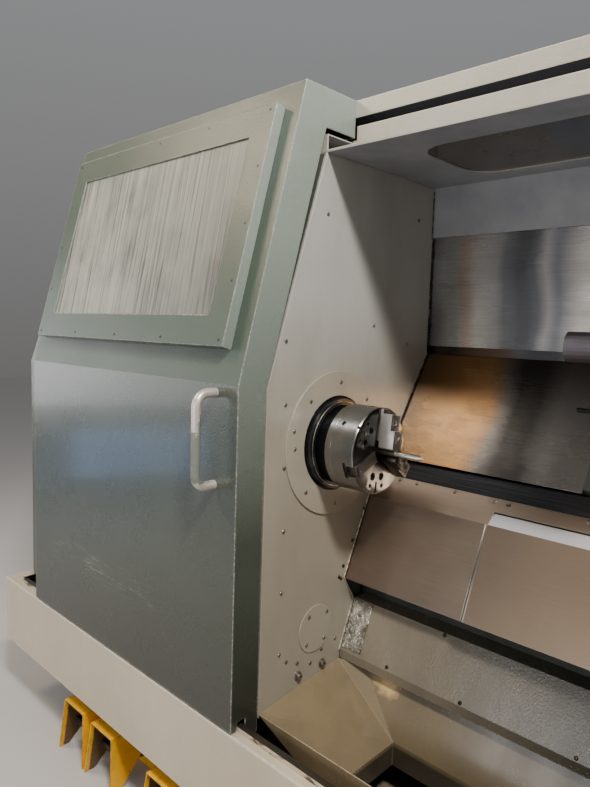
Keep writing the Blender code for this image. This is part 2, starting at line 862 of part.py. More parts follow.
def make_chuck(spindle):
    back = chuck_face - chuck_length
    profile = [(chuck_bore, chuck_face), (chuck_radius, chuck_face), (chuck_radius, back),
               (chuck_bore, back)]
    chuck = turned("chuck_body", profile, bright_steel, spindle, closed=True)
    for index in range(jaw_count):
        angle = jaw_angle + index * 2 * math.pi / jaw_count
        slot = radial(tee_outline(0.0, overrun), slot_start, chuck_radius + overrun, angle)
        cut(chuck, tool("tee_slot_%d" % (index + 1), slot, spindle))
        between = angle + math.pi / jaw_count
        for side in (-1, 1):
            turn = between + side * bolt_spread
            centre = (bolt_circle * math.cos(turn), bolt_circle * math.sin(turn))
            hole = cylinder_x(bolt_hole_radius, chuck_face - bolt_depth, chuck_face + overrun,
                              centre, small_segments // 2)
            cut(chuck, tool("bolt_hole_%d_%d" % (index + 1, side), hole, spindle))
    tip = [(0.0, bar_tip), (bar_radius, bar_shoulder), (bar_radius, chuck_face - chuck_length + gap),
           (0.0, chuck_face - chuck_length + gap)]
    turned("work_bar", tip, bright_steel, spindle, segments=small_segments)


def make_jaw(number, spindle):
    """A hardened master jaw; the first and third also carry a stepped soft jaw."""
    angle = jaw_angle + (number - 1) * 2 * math.pi / jaw_count
    tee = radial(tee_outline(gap, jaw_proud), jaw_start, jaw_end, angle)
    jaw = place("jaw_%d" % number, tee, bright_steel, spindle)
    if number == 2:
        return
    seat = chuck_face + jaw_proud - gap
    top = seat + gap + top_jaw_length
    reach = bar_radius + gap
    half = top_jaw_width / 2
    flare = math.tan(math.pi / jaw_count)
    shoulder = (half + gap * 2) / flare
    tip = reach * flare - gap * 2
    outline = [(reach, -tip), (shoulder, -half), (top_jaw_end, -half), (top_jaw_end, half),
               (shoulder, half), (reach, tip)]
    body = profile_x([outline], seat, top)
    body.transform(Matrix.Rotation(angle, 4, "X"))
    join(jaw, tool("soft_jaw_%d" % number, body, spindle))
    step = box((top - top_jaw_step, top_jaw_step_radius, -half - overrun),
               (top + overrun, top_jaw_end + overrun, half + overrun))
    step.transform(Matrix.Rotation(angle, 4, "X"))
    cut(jaw, tool("soft_jaw_step_%d" % number, step, spindle))


# Apron, guards and chip chute below the chamber.
apron_lip = 0.021
apron_return = 0.036
guard_seam = 0.352
guard_gap = 0.002
guard_proud = 0.012
guard_top_share = 0.50
chute_front_y = -0.2435
chute_back_y = 0.0745
chute_front_z = -0.625
chute_back_z = -0.592
chute_corner_x = 0.071
chute_corner_y = 0.045
opening_left = 0.205
opening_right = 0.980
opening_front_y = -0.236
opening_back_y = 0.020
opening_z = -0.719
duct_length = 0.060
side_gap = 0.0005
chute_side_gap = 0.001


def blend(start, end, share):
    return tuple(a + (b - a) * share for a, b in zip(start, end))


def make_apron():
    path = [(bed_front_y - gap, apron_top[1]), apron_top, apron_foot,
            (apron_foot[0], apron_foot[1] - apron_lip),
            (apron_foot[0] + apron_return, apron_foot[1] - apron_lip)]
    apron = place("bed_apron", folded_x(path, side_gap, chamber_length - side_gap), cream_paint)
    thicken(apron, sheet / 2, -1.0)


def guard_top():
    return on_slope(tail_way_low - gap, -tail_way_out)


def make_guards():
    top = guard_top()
    middle = blend(top, guard_knee, guard_top_share)
    path = [top, middle, guard_knee, guard_foot]
    columns = [side_gap, guard_seam, chamber_length - side_gap]
    shape = bmesh.new()
    grid = [[shape.verts.new((x, y, z)) for y, z in path] for x in columns]
    for row in range(len(path) - 1):
        for column in range(2):
            if column == 1 and row > 0:
                continue
            shape.faces.new((grid[column][row], grid[column + 1][row],
                             grid[column + 1][row + 1], grid[column][row + 1]))
    for lone in [vert for vert in shape.verts if not vert.link_faces]:
        shape.verts.remove(lone)
    left = place("guard_left", mesh_of(shape), stainless)
    thicken(left, sheet / 2, -1.0)
    run = Vector((guard_foot[0] - guard_knee[0], guard_foot[1] - guard_knee[1])).normalized()
    out = (run.y * guard_proud, -run.x * guard_proud)
    start = blend(top, guard_knee, guard_top_share + guard_gap / guard_proud / 4)
    knee_out = (guard_knee[0] + out[0], guard_knee[1] + out[1])
    foot_out = (guard_foot[0] + out[0], guard_foot[1] + out[1])
    outline = [start, knee_out, foot_out, guard_foot, guard_knee]
    inner = sheet / 2 / guard_proud
    near_knee = blend(knee_out, guard_knee, inner)
    near_foot = blend(foot_out, guard_foot, inner)
    lift = run.normalized() * sheet / 2
    deep = (-out[0] * 2, -out[1] * 2)
    room = [(near_knee[0] + lift.x, near_knee[1] + lift.y),
            (near_foot[0] - lift.x, near_foot[1] - lift.y),
            (near_foot[0] - lift.x + deep[0], near_foot[1] - lift.y + deep[1]),
            (near_knee[0] + lift.x + deep[0], near_knee[1] + lift.y + deep[1])]
    low_x = guard_seam + guard_gap
    high_x = chamber_length - side_gap
    right = place("guard_right", profile_x([outline], low_x, high_x), stainless)
    wall = sheet / 2
    cut(right, tool("guard_room", profile_x([room], low_x + wall, high_x - wall)))


def make_chute():
    left = chute_side_gap
    right = chamber_length - chute_side_gap
    rim = [(left, chute_front_y, chute_front_z), (left, chute_corner_y, chute_back_z),
           (chute_corner_x, chute_back_y, chute_back_z),
           (right - chute_corner_x, chute_back_y, chute_back_z),
           (right, chute_corner_y, chute_back_z), (right, chute_front_y, chute_front_z)]
    mouth = [(opening_left, opening_front_y, opening_z), (opening_left, opening_back_y, opening_z),
             (opening_right, opening_back_y, opening_z),
             (opening_right, opening_front_y, opening_z)]
    shape = bmesh.new()
    upper = [shape.verts.new(point) for point in rim]
    lower = [shape.verts.new(point) for point in mouth]
    sides = [(upper[0], upper[1], lower[1], lower[0]), (upper[1], upper[2], lower[1]),
             (upper[2], upper[3], lower[2], lower[1]), (upper[3], upper[4], lower[2]),
             (upper[4], upper[5], lower[3], lower[2]), (upper[5], upper[0], lower[0], lower[3])]
    for side in sides:
        shape.faces.new(side)
    loop = [shape.edges.get((lower[i], lower[(i + 1) % len(lower)])) for i in range(len(lower))]
    drawn = bmesh.ops.extrude_edge_only(shape, edges=loop)
    moved = [item for item in drawn["geom"] if isinstance(item, bmesh.types.BMVert)]
    bmesh.ops.translate(shape, vec=(0.0, 0.0, -duct_length), verts=moved)
    bmesh.ops.recalc_face_normals(shape, faces=shape.faces)
    shape.normal_update()
    left_face = min(shape.faces, key=lambda face: face.calc_center_median().x)
    if left_face.normal.z < 0:
        bmesh.ops.reverse_faces(shape, faces=shape.faces)
    chute = place("chip_chute", mesh_of(shape), cream_paint)
    thicken(chute, sheet / 2, -1.0)


# Carriage: saddle, moving covers, cross slide and turret.
saddle_left = 0.530
saddle_right = 0.990
saddle_out = 0.250
saddle_low = 0.078
saddle_high = 0.470
cheek_width = 0.030
cheek_depth = 0.030
cover_thickness = 0.002
cover_reach_left = 0.450
cover_pass = 0.310
cover_reach_right = chamber_length + cover_pass
cover_step_z = 0.248
cover_step_y = 0.016
cover_top_along = 0.4054
cover_flange = 0.010
slide_left = 0.770
slide_right = 0.950
slide_low = 0.205
slide_high = 0.600
slide_out = 0.190
slide_wall = 0.016
turret_along = 0.3695
disc_flat = 0.175
disc_left = 0.660
disc_right = 0.740
disc_chamfer = 0.012
disc_boss = 0.060
station_count = 8
turret_left = 0.7603
turret_half = 0.110
turret_top = 0.090
turret_wall = 0.014
tool_circle = 0.2058
tool_angle = slant_angle - math.pi
bar_holder_radius = 0.0285
bar_holder_left = 0.566
holder_reach = 0.230
holder_left = 0.625
holder_half = 0.036
drill_radius = 0.005
drill_left = 0.558
drill_holder_radius = 0.022


def make_saddle(carriage):
    """A flat plate on the ways, with an upright cheek at each end to carry the covers."""
    back_y = upper_cover_y + cheek_depth
    shoulder = on_slope(saddle_high, -saddle_out)
    outline = [on_slope(saddle_low, -way_out + gap), on_slope(saddle_high, -way_out + gap),
               shoulder, (back_y, shoulder[1]), (back_y, strip_height),
               (upper_cover_y, strip_height),
               line_meets_y(saddle_low, -cover_distance, upper_cover_y),
               on_slope(saddle_low, -cover_distance)]
    saddle = place("carriage_saddle", profile_x([outline], saddle_left, saddle_right),
                   grey_casting, carriage)
    low = on_slope(saddle_low - overrun, -saddle_out)
    front = on_slope(saddle_low - overrun, -cover_distance + overrun)
    high = on_slope(saddle_high + overrun, -saddle_out)
    top_z = strip_height + overrun
    room = [low, high, (high[0], top_z), (front[0], top_z), front]
    cut(saddle, tool("saddle_room", profile_x([room], saddle_left + cheek_width,
                                              saddle_right - cheek_width), carriage))


def make_covers(carriage):
    end = saddle_left - gap
    upper = [(upper_cover_y, cover_top_z), (upper_cover_y, cover_step_z),
             (upper_cover_y + cover_flange, cover_step_z)]
    cover = place("upper_cover_left", folded_x(upper, -cover_reach_left, end), stainless, carriage)
    thicken(cover, cover_thickness, 1.0)
    top = on_slope(cover_top_along, -cover_distance)
    low = on_slope(cover_bottom_along, -cover_distance)
    slant = [(upper_cover_y + cover_step_y, cover_step_z + cover_flange),
             (upper_cover_y + cover_step_y, top[1]), top, low]
    cover = place("slant_cover_left", folded_x(slant, -cover_reach_left, end), stainless, carriage)
    thicken(cover, cover_thickness, 1.0)
    meet = line_meets_y(0.0, -cover_distance, upper_cover_y)
    whole = [(upper_cover_y, cover_top_z), meet, low]
    cover = place("cover_right", folded_x(whole, saddle_right + gap, cover_reach_right), stainless,
                  carriage)
    thicken(cover, cover_thickness, 1.0)


def make_cross_slide(slide):
    plate = [on_slope(slide_low, -saddle_out + gap), on_slope(slide_high, -saddle_out + gap),
             on_slope(slide_high, -slide_out), on_slope(slide_low, -slide_out)]
    base = place("cross_slide", profile_x([plate], slide_left, slide_right), grey_casting, slide)
    wall = slide_wall
    room = [on_slope(slide_low + wall, -saddle_out - overrun),
            on_slope(slide_high - wall, -saddle_out - overrun),
            on_slope(slide_high - wall, -slide_out - wall),
            on_slope(slide_low + wall, -slide_out - wall)]
    cut(base, tool("slide_room", profile_x([room], slide_left + wall, slide_right - wall), slide))
    low = turret_along - turret_half
    high = turret_along + turret_half
    block = [on_slope(low, -slide_out + gap), on_slope(high, -slide_out + gap),
             on_slope(high, turret_top), on_slope(low, turret_top)]
    housing = place("turret_housing", profile_x([block], turret_left, slide_right), dark_paint,
                    slide)
    wall = turret_wall
    hollow = [on_slope(low + wall, -slide_out - overrun), on_slope(high - wall, -slide_out - overrun),
              on_slope(high - wall, turret_top - wall), on_slope(low + wall, turret_top - wall)]
    cut(housing, tool("turret_room", profile_x([hollow], turret_left + wall, slide_right - wall),
                      slide))


def station(radius, turn):
    """The (y, z) of a point about the turret's own axis."""
    return (radius * math.cos(turn), radius * math.sin(turn))


def make_turret(turret):
    corner = disc_flat / math.cos(math.pi / station_count)
    step = 2 * math.pi / station_count
    first = tool_angle + step / 2
    outline = [station(corner, first + i * step) for i in range(station_count)]
    disc = place("turret_disc", profile_x([outline], disc_left, disc_right), bright_steel, turret)
    bevel = disc.modifiers.new("edge", "BEVEL")
    bevel.width = disc_chamfer
    bevel.segments = 1
    bevel.limit_method = "ANGLE"
    bevel.angle_limit = math.radians(60)
    boss = cylinder_x(disc_boss, disc_right - overrun, turret_left - gap, segments=small_segments)
    join(disc, tool("turret_boss", boss, turret))
    make_bar_holder(turret, tool_angle - step)
    make_drill_holder(turret, tool_angle)


def holder_block(turn):
    """A block bolted to one flat of the disc, reaching over its front face."""
    out = Vector(station(1.0, turn))
    side = Vector((-out.y, out.x))
    low = disc_flat + gap
    corners = [out * low - side * holder_half, out * holder_reach - side * holder_half,
               out * holder_reach + side * holder_half, out * low + side * holder_half]
    return profile_x([[tuple(point) for point in corners]], holder_left, disc_right - disc_chamfer)


def make_bar_holder(turret, turn):
    holder = place("boring_bar", holder_block(turn), dark_steel, turret)
    bar = cylinder_x(bar_holder_radius, bar_holder_left, holder_left + overrun,
                     station(tool_circle, turn), small_segments)
    join(holder, tool("boring_sleeve", bar, turret))


def make_drill_holder(turret, turn):
    holder = place("drill_holder", holder_block(turn), dark_steel, turret)
    middle = (drill_left + holder_left) / 2
    chuck = cylinder_x(drill_holder_radius, middle, holder_left + overrun,
                       station(tool_circle, turn), small_segments)
    drill = cylinder_x(drill_radius, drill_left, middle + overrun, station(tool_circle, turn),
                       small_segments // 2)
    join(holder, tool("drill_collet", chuck, turret))
    join(holder, tool("drill", drill, turret))


# Tailstock: a cast body on its way, with a quill that slides in it.
tail_wall_clearance = 0.070
tail_length = 0.200
tail_right = chamber_length - tail_wall_clearance
tail_left = tail_right - tail_length
tail_radius = 0.075
tail_foot_low = 0.0165
tail_foot_high = 0.0655
tail_web_low = -0.030
tail_web_high = 0.040
quill_radius = 0.040
quill_reach = 0.035
quill_left = tail_left - quill_reach
quill_depth = 0.160
centre_length = 0.060
centre_left = quill_left - centre_length
centre_radius = 0.018


def make_tailstock(tailstock, quill):
    web = [on_slope(tail_foot_low, -tail_way_out + gap), on_slope(tail_web_low, 0.0),
           on_slope(tail_web_high, 0.0), on_slope(tail_foot_high, -tail_way_out + cover_seam * 2),
           on_slope(tail_way_step + gap, -tail_way_out + cover_seam * 2),
           on_slope(tail_way_step + gap, -tail_way_out + gap)]
    body = place("tailstock_body", cylinder_x(tail_radius, tail_left, tail_right), grey_casting,
                 tailstock)
    join(body, tool("tailstock_web", profile_x([web], tail_left + sheet, tail_right - sheet),
                    tailstock))
    bore_end = tail_left + quill_depth
    bore = cylinder_x(hole_radius(quill_radius), tail_left - overrun, bore_end)
    cut(body, tool("quill_bore", bore, tailstock))
    profile = [(0.0, bore_end - gap), (quill_radius, bore_end - gap), (quill_radius, quill_left),
               (centre_radius, quill_left), (centre_radius, centre_left + centre_radius * 1.5),
               (0.0, centre_left)]
    turned("tailstock_quill", profile, bright_steel, quill)


# Ball screw that drives the carriage.
def make_screw(screw):
    body = cylinder_x(screw_radius, -screw_left, screw_right, segments=small_segments)
    place("z_ball_screw", body, bright_steel, screw)


# Rear electrical cabinet with a hinged door.
cabinet_left = 1.000
cabinet_right = 0.100
cabinet_top_z = 0.600


def make_cabinet(hinge):
    low = (-cabinet_left, cabinet_front_y, floor_z)
    high = (-cabinet_right, cabinet_front_y + cabinet_depth, cabinet_top_z)
    cabinet = place("rear_cabinet", box(low, high), cream_paint)
    room = box((low[0] + sheet, low[1] + sheet, low[2] + sheet),
               (high[0] - sheet, high[1] + overrun, high[2] - sheet))
    cut(cabinet, tool("cabinet_room", room))
    width = cabinet_left - cabinet_right
    height = cabinet_top_z - floor_z
    door = box((0.0, -cabinet_door_thickness, sheet), (width, 0.0, height))
    place("cabinet_door", door, cream_paint, hinge)


# Operator's panel with an emergency button and a feed knob.
panel_left = 1.120
panel_right = 1.520
panel_low_z = -0.300
panel_high_z = 0.130
button_x = 1.440
knob_x = 1.280
control_z = -0.220
button_radius = 0.020
button_stem = 0.011
button_stem_length = 0.012
button_seat = 0.010
button_travel = 0.006
button_bore = button_stem + gap * 2
knob_radius = 0.022
knob_length = 0.022
panel_chamfer = 0.008


def make_panel(button, knob):
    face_y = door_front_y - gap - panel_depth
    panel = place("control_box", box((panel_left, face_y, panel_low_z),
                                     (panel_right, door_front_y - gap, panel_high_z)), dark_paint)
    bevel = panel.modifiers.new("edge", "BEVEL")
    bevel.width = panel_chamfer
    bevel.segments = 1
    bore = box((button_x - button_bore, face_y - overrun, control_z - button_bore),
               (button_x + button_bore, face_y + button_seat + button_travel + gap,
                control_z + button_bore))
    cut(panel, tool("button_bore", bore))
    turn = Matrix.Rotation(-math.pi / 2, 4, "Z")
    head = cylinder_x(button_radius, button_stem_length, button_length, segments=small_segments)
    head.transform(turn)
    mushroom = place("emergency_button", head, red_plastic, button)
    stem = cylinder_x(button_stem, -button_seat, button_stem_length + sheet,
                      segments=small_segments)
    stem.transform(turn)
    join(mushroom, tool("button_stem", stem, button))
    dial = cylinder_x(knob_radius, 0.0, knob_length, segments=small_segments)
    dial.transform(turn)
    place("feed_knob", dial, black_rubber, knob)


# Foot pedals: a pair and a single one, each under a yellow hood that narrows to its feet.
hood_left = 0.810
pair_pitch = 0.166
single_offset = 0.465
hood_top_width = 0.117
hood_left_spread = 0.044
hood_right_spread = 0.007
hood_front_y = -0.325
hood_back_y = base_front_y - gap
hood_height = 0.183
hood_foot = 0.032
hood_brow = 0.030
hood_block = 0.040
pedal_height = 0.070
pedal_length = 0.105
pedal_thickness = 0.014
pedal_boss = 0.009
pedal_tilt = math.radians(12)
pedal_side_gap = 0.005
pedal_margin = 0.004


def drawn_y(outline, y_low, y_high):
    """An outline in (x, z), filled and drawn out along Y."""
    made = outline_to_mesh([outline], y_high - y_low)
    made.transform(Matrix.Translation((0.0, (y_low + y_high) / 2, 0.0))
                   @ Matrix.Rotation(math.pi / 2, 4, "X"))
    return made


def hood_outline(left, inset, low_z):
    top_z = floor_z + hood_height - inset
    return [(left - hood_left_spread + inset, low_z), (left + inset, top_z),
            (left + hood_top_width - inset, top_z),
            (left + hood_top_width - hood_right_spread - inset, low_z)]


def make_hood(number, left):
    top_z = floor_z + hood_height
    hood = place("pedal_guard_%d" % number,
                 drawn_y(hood_outline(left, 0.0, floor_z), hood_front_y, hood_back_y), yellow_paint)
    block_y = hood_back_y - hood_block
    room = drawn_y(hood_outline(left, sheet, floor_z - overrun), hood_front_y - overrun, block_y)
    cut(hood, tool("hood_room_%d" % number, room))
    trim = [(hood_front_y + hood_foot, floor_z - overrun), (block_y, floor_z - overrun),
            (block_y, top_z - hood_brow), (hood_front_y + hood_foot, floor_z)]
    cut(hood, tool("hood_trim_%d" % number,
                   profile_x([trim], left - hood_left_spread - overrun,
                             left + hood_top_width + overrun)))


def pedal_span(left):
    """The clear width between the hood's cheeks at the height of the pedal."""
    rise = pedal_height / hood_height
    low = left - hood_left_spread * (1 - rise) + sheet + pedal_margin
    high = left + hood_top_width - hood_right_spread * (1 - rise) - sheet - pedal_margin
    return low, high


def make_pedal(number, left, pivot):
    """The boss lies against the hood's rear block; the plate reaches forward and a little up."""
    low, high = pedal_span(left)
    half = (high - low) / 2
    boss = cylinder_x(pedal_boss, -half, half, segments=small_segments // 2)
    pedal = place("pedal_%d" % number, boss, black_rubber, pivot)
    inner = half - pedal_side_gap
    plate = box((-inner, -pedal_length, -pedal_thickness / 2), (inner, 0.0, pedal_thickness / 2))
    plate.transform(Matrix.Rotation(-pedal_tilt, 4, "X"))
    join(pedal, tool("pedal_plate_%d" % number, plate, pivot))


def build():
    make_base()
    make_tray()
    make_rails()
    make_bed()
    make_tail_way()
    make_headstock()
    make_walls()
    make_canopy()
    make_left_housing()
    make_right_housing()
    make_door(empty("door_slide", (0.0, 0.0, 0.0), datum))
    spindle = empty("spindle_axis", (0.0, 0.0, 0.0), datum)
    make_spindle(spindle)
    make_drive(empty("motor_axis", (0.0, 0.0, motor_z), datum))
    make_chuck(spindle)
    for number in range(1, jaw_count + 1):
        make_jaw(number, spindle)
    make_apron()
    make_guards()
    make_chute()
    carriage = empty("carriage_slide", (0.0, 0.0, 0.0), datum)
    make_saddle(carriage)
    make_covers(carriage)
    slide = empty("cross_slide_axis", (0.0, 0.0, 0.0), carriage)
    make_cross_slide(slide)
    centre = on_slope(turret_along, 0.0)
    make_turret(empty("turret_axis", (0.0, centre[0], centre[1]), slide))
    tailstock = empty("tailstock_slide", (0.0, 0.0, 0.0), datum)
    make_tailstock(tailstock, empty("quill_slide", (0.0, 0.0, 0.0), tailstock))
    screw = on_slope(screw_along, -screw_out)
    make_screw(empty("screw_axis", (0.0, screw[0], screw[1]), datum))
    make_cabinet(empty("cabinet_hinge", (-cabinet_left, back_most_y, floor_z), datum))
    face_y = door_front_y - 2 * gap - panel_depth
    make_panel(empty("button_push", (button_x, face_y, control_z), datum),
               empty("knob_axis", (knob_x, face_y, control_z), datum))
    pivot_y = hood_back_y - hood_block - pedal_boss - gap
    offsets = (0.0, pair_pitch, single_offset)
    for number, offset in enumerate(offsets, start=1):
        left = offset - hood_left
        make_hood(number, left)
        low, high = pedal_span(left)
        pivot = ((low + high) / 2, pivot_y, floor_z + pedal_height)
        make_pedal(number, left, empty("pedal_pivot_%d" % number, pivot, datum))


build()
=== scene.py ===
import math

import bmesh
import bpy
from mathutils import Matrix, Vector


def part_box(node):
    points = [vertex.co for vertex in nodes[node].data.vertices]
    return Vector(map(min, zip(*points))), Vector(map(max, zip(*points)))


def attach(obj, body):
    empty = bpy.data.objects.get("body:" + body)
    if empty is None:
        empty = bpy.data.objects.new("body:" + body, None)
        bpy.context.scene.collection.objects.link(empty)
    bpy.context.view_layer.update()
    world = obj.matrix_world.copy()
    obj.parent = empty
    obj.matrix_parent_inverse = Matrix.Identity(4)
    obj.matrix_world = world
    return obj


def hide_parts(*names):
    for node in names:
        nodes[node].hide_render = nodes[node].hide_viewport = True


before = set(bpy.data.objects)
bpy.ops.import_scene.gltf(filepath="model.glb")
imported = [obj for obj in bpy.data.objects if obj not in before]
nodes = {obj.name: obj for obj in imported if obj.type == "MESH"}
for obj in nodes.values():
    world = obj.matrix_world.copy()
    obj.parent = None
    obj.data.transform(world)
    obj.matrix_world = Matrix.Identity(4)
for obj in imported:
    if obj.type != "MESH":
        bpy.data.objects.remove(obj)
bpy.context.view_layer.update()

# The view: a camera at the photograph's place, aimed into the open doorway from the right,
# over a pale floor, with large soft lamps in front of the machine and above it.
seal_low, seal_high = (Vector(corner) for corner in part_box("spindle_seal_ring"))
wall_high = Vector(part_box("headstock_wall")[1])
datum = Vector((wall_high.x, (seal_low.y + seal_high.y) / 2, (seal_low.z + seal_high.z) / 2))


def at(x, y, z):
    """A point measured from where the spindle's axis meets the headstock wall."""
    return datum + Vector((x, y, z))


camera_place = at(1.0212, -1.2256, 0.2827)
turn, tip, roll = (math.radians(angle) for angle in (43.634, 5.766, -1.849))
ahead = Vector((-math.sin(turn) * math.cos(tip), math.cos(turn) * math.cos(tip), -math.sin(tip)))
level = Vector((math.cos(turn), math.sin(turn), 0.0))
below = ahead.cross(level)
image_right = level * math.cos(roll) + below * math.sin(roll)
image_down = below * math.cos(roll) - level * math.sin(roll)
camera = bpy.data.objects.new("camera", bpy.data.cameras.new("camera"))
camera.data.sensor_width = 36.0
camera.data.lens = 28.96
camera.data.clip_start = 0.02
camera.matrix_world = (Matrix.Translation(camera_place)
                       @ Matrix((image_right, -image_down, -ahead)).transposed().to_4x4())
bpy.context.scene.collection.objects.link(camera)
bpy.context.scene.camera = camera


def soft_lamp(name, place, aim, size, power, colour=(1.0, 1.0, 1.0)):
    data = bpy.data.lights.new(name, "AREA")
    data.shape = "RECTANGLE"
    data.size, data.size_y = size
    data.energy = power
    data.color = colour
    lamp = bpy.data.objects.new(name, data)
    lamp.location = place
    lamp.rotation_euler = (aim - place).to_track_quat("-Z", "Y").to_euler()
    bpy.context.scene.collection.objects.link(lamp)


middle = at(0.2, 0.0, 0.0)
soft_lamp("key_lamp", at(2.1, -1.5, 3.0), middle, (0.5, 0.4), 205.0, (1.0, 0.98, 0.95))
soft_lamp("left_window", at(-3.4, -1.9, 0.42), at(-0.3, -0.3, 0.1), (2.4, 1.55), 38.0,
          (0.96, 0.98, 1.0))
soft_lamp("blue_patch", at(-3.0, -2.0, -0.66), at(-0.38, -0.33, -0.06), (0.95, 0.34), 3.0,
          (0.30, 0.52, 1.0))
soft_lamp("warm_lamp", at(-1.75, -1.55, 2.1), at(0.3, 0.1, 0.0), (0.7, 0.6), 46.0,
          (1.0, 0.80, 0.58))
soft_lamp("front_card", at(0.2, -4.6, 0.3), middle, (3.6, 1.0), 55.0)
soft_lamp("back_lamp", at(0.3, 3.8, 2.2), middle, (2.8, 1.6), 80.0)
soft_lamp("right_fill", at(4.2, -0.6, 1.0), middle, (1.8, 1.8), 22.0)

world = bpy.data.worlds.new("studio")
bpy.context.scene.world = world
world.use_nodes = True
sky = world.node_tree
backdrop = sky.nodes["Background"]
sky_place = sky.nodes.new("ShaderNodeTexCoord")
sky_parts = sky.nodes.new("ShaderNodeSeparateXYZ")
sky_ramp = sky.nodes.new("ShaderNodeValToRGB")
for stop, position, colour in zip(sky_ramp.color_ramp.elements, (0.35, 0.75),
                                  ((0.30, 0.28, 0.26, 1.0), (0.82, 0.83, 0.85, 1.0))):
    stop.position, stop.color = position, colour
sky_shift = sky.nodes.new("ShaderNodeMath")
sky_shift.operation = "MULTIPLY_ADD"
sky_shift.inputs[1].default_value = sky_shift.inputs[2].default_value = 0.5
sky.links.new(sky_place.outputs["Generated"], sky_parts.inputs[0])
sky.links.new(sky_parts.outputs["Z"], sky_shift.inputs[0])
sky.links.new(sky_shift.outputs[0], sky_ramp.inputs[0])
sky.links.new(sky_ramp.outputs[0], backdrop.inputs["Color"])
backdrop.inputs["Strength"].default_value = 0.34

bpy.ops.mesh.primitive_plane_add(size=30.0, location=(0.0, 0.0, 0.0))
floor = bpy.context.object
floor.name = "studio_floor"
floor_look = bpy.data.materials.new("pale_floor")
floor_look.use_nodes = True
floor_shader = floor_look.node_tree.nodes["Principled BSDF"]
floor_shader.inputs["Base Color"].default_value = (0.46, 0.44, 0.42, 1.0)
floor_shader.inputs["Roughness"].default_value = 0.7
floor.data.materials.append(floor_look)


# Base: a grey iron casting on four corner pads, rough from the mould and painted once,
# with a levelling screw and its lock nut at each pad.
def tint(code):
    """A colour written as on a paint card, made linear."""
    parts = [int(code[i:i + 2], 16) / 255 for i in (1, 3, 5)]
    return (*(p / 12.92 if p <= 0.04045 else ((p + 0.055) / 1.055) ** 2.4 for p in parts), 1.0)


class Shade:
    """One value in a finish's node tree. Sums written on it add Math nodes."""

    def __init__(self, tree, socket):
        self.tree = tree
        self.socket = socket

    def feed(self, value, socket):
        if isinstance(value, Shade):
            self.tree.links.new(value.socket, socket)
        else:
            socket.default_value = value

    def node(self, kind, settings=None, sockets=None, output=0):
        made = self.tree.nodes.new(kind)
        for name, value in (settings or {}).items():
            setattr(made, name, value)
        for key, value in (sockets or {}).items():
            self.feed(value, made.inputs[key])
        return Shade(self.tree, made.outputs[output])

    def sum(self, operation, first, second):
        return self.node("ShaderNodeMath", {"operation": operation}, {0: first, 1: second})

    def __add__(self, other):
        return self.sum("ADD", self, other)

    def __radd__(self, other):
        return self.sum("ADD", other, self)

    def __sub__(self, other):
        return self.sum("SUBTRACT", self, other)

    def __rsub__(self, other):
        return self.sum("SUBTRACT", other, self)

    def __mul__(self, other):
        return self.sum("MULTIPLY", self, other)

    def __rmul__(self, other):
        return self.sum("MULTIPLY", other, self)


def new_finish(name, metallic=0.0, coat=0.0):
    """An empty finish: the material, and the place on the piece to work from."""
    look = bpy.data.materials.new(name)
    look.use_nodes = True
    tree = look.node_tree
    inputs = tree.nodes["Principled BSDF"].inputs
    inputs["Metallic"].default_value = metallic
    inputs["Coat Weight"].default_value = coat
    inputs["Coat Roughness"].default_value = 0.12
    return look, Shade(tree, tree.nodes.new("ShaderNodeTexCoord").outputs["Object"])


def complete(look, colour, roughness, normal=None, metallic=None, coat=None, specular=None):
    """Wire the values worked out for a finish into its shader, and give the finish back."""
    inputs = look.node_tree.nodes["Principled BSDF"].inputs
    for socket, value in (("Base Color", colour), ("Roughness", roughness), ("Normal", normal),
                          ("Metallic", metallic), ("Coat Weight", coat),
                          ("Specular IOR Level", specular)):
        if value is not None:
            colour.feed(value, inputs[socket])
    return look


def cloud(place, scale, detail=3.0, roughness=0.5, distortion=0.0):
    return place.node("ShaderNodeTexNoise", None, {
        "Vector": place, "Scale": scale, "Detail": detail, "Roughness": roughness,
        "Distortion": distortion})


def between(value, low, high):
    """0 up to low, 1 from high on, and even between them."""
    return value.node("ShaderNodeMapRange", {"clamp": True}, {0: value, 1: low, 2: high})


def mix(factor, first, second):
    """The first colour at 0 and the second at 1; a paint-card code stands for a colour."""
    first, second = (tint(end) if isinstance(end, str) else end for end in (first, second))
    return factor.node("ShaderNodeMix", {"data_type": "RGBA"},
                       {0: factor, 6: first, 7: second}, 2)


def rounded(place, radius):
    """A normal that runs round the edges of the piece as if they had this radius."""
    return place.node("ShaderNodeBevel", {"samples": 4}, {"Radius": radius})


def worn_edges(place, radius):
    """1 on sharp edges and 0 on flats."""
    true_normal = place.node("ShaderNodeNewGeometry", output=1)
    cosine = place.node("ShaderNodeVectorMath", {"operation": "DOT_PRODUCT"},
                        {0: rounded(place, radius), 1: true_normal}, 1)
    return between(1.0 - cosine, 0.02, 0.16)


def bumped(height, depth, normal=None):
    sockets = {"Height": height, "Distance": depth, "Strength": 1.0}
    if normal is not None:
        sockets["Normal"] = normal
    return height.node("ShaderNodeBump", None, sockets)


def dress(look, *names):
    """Give these pieces of the frame a finish."""
    for name in names:
        for slot in nodes[name].material_slots:
            slot.material = look


def casting_paint(name, colour, dark):
    look, place = new_finish(name)
    grain = cloud(place, 160.0, 4.0, 0.6)
    soot = between(cloud(place, 5.0, 6.0, 0.65), 0.42, 0.68)
    edge = worn_edges(place, 0.003)
    paint = mix(soot * 0.8, colour, dark)
    return complete(look, mix(edge * 0.45, paint, "#8b8d88"), 0.48 + soot * 0.25,
                    bumped(grain, 0.0006, rounded(place, 0.004)))


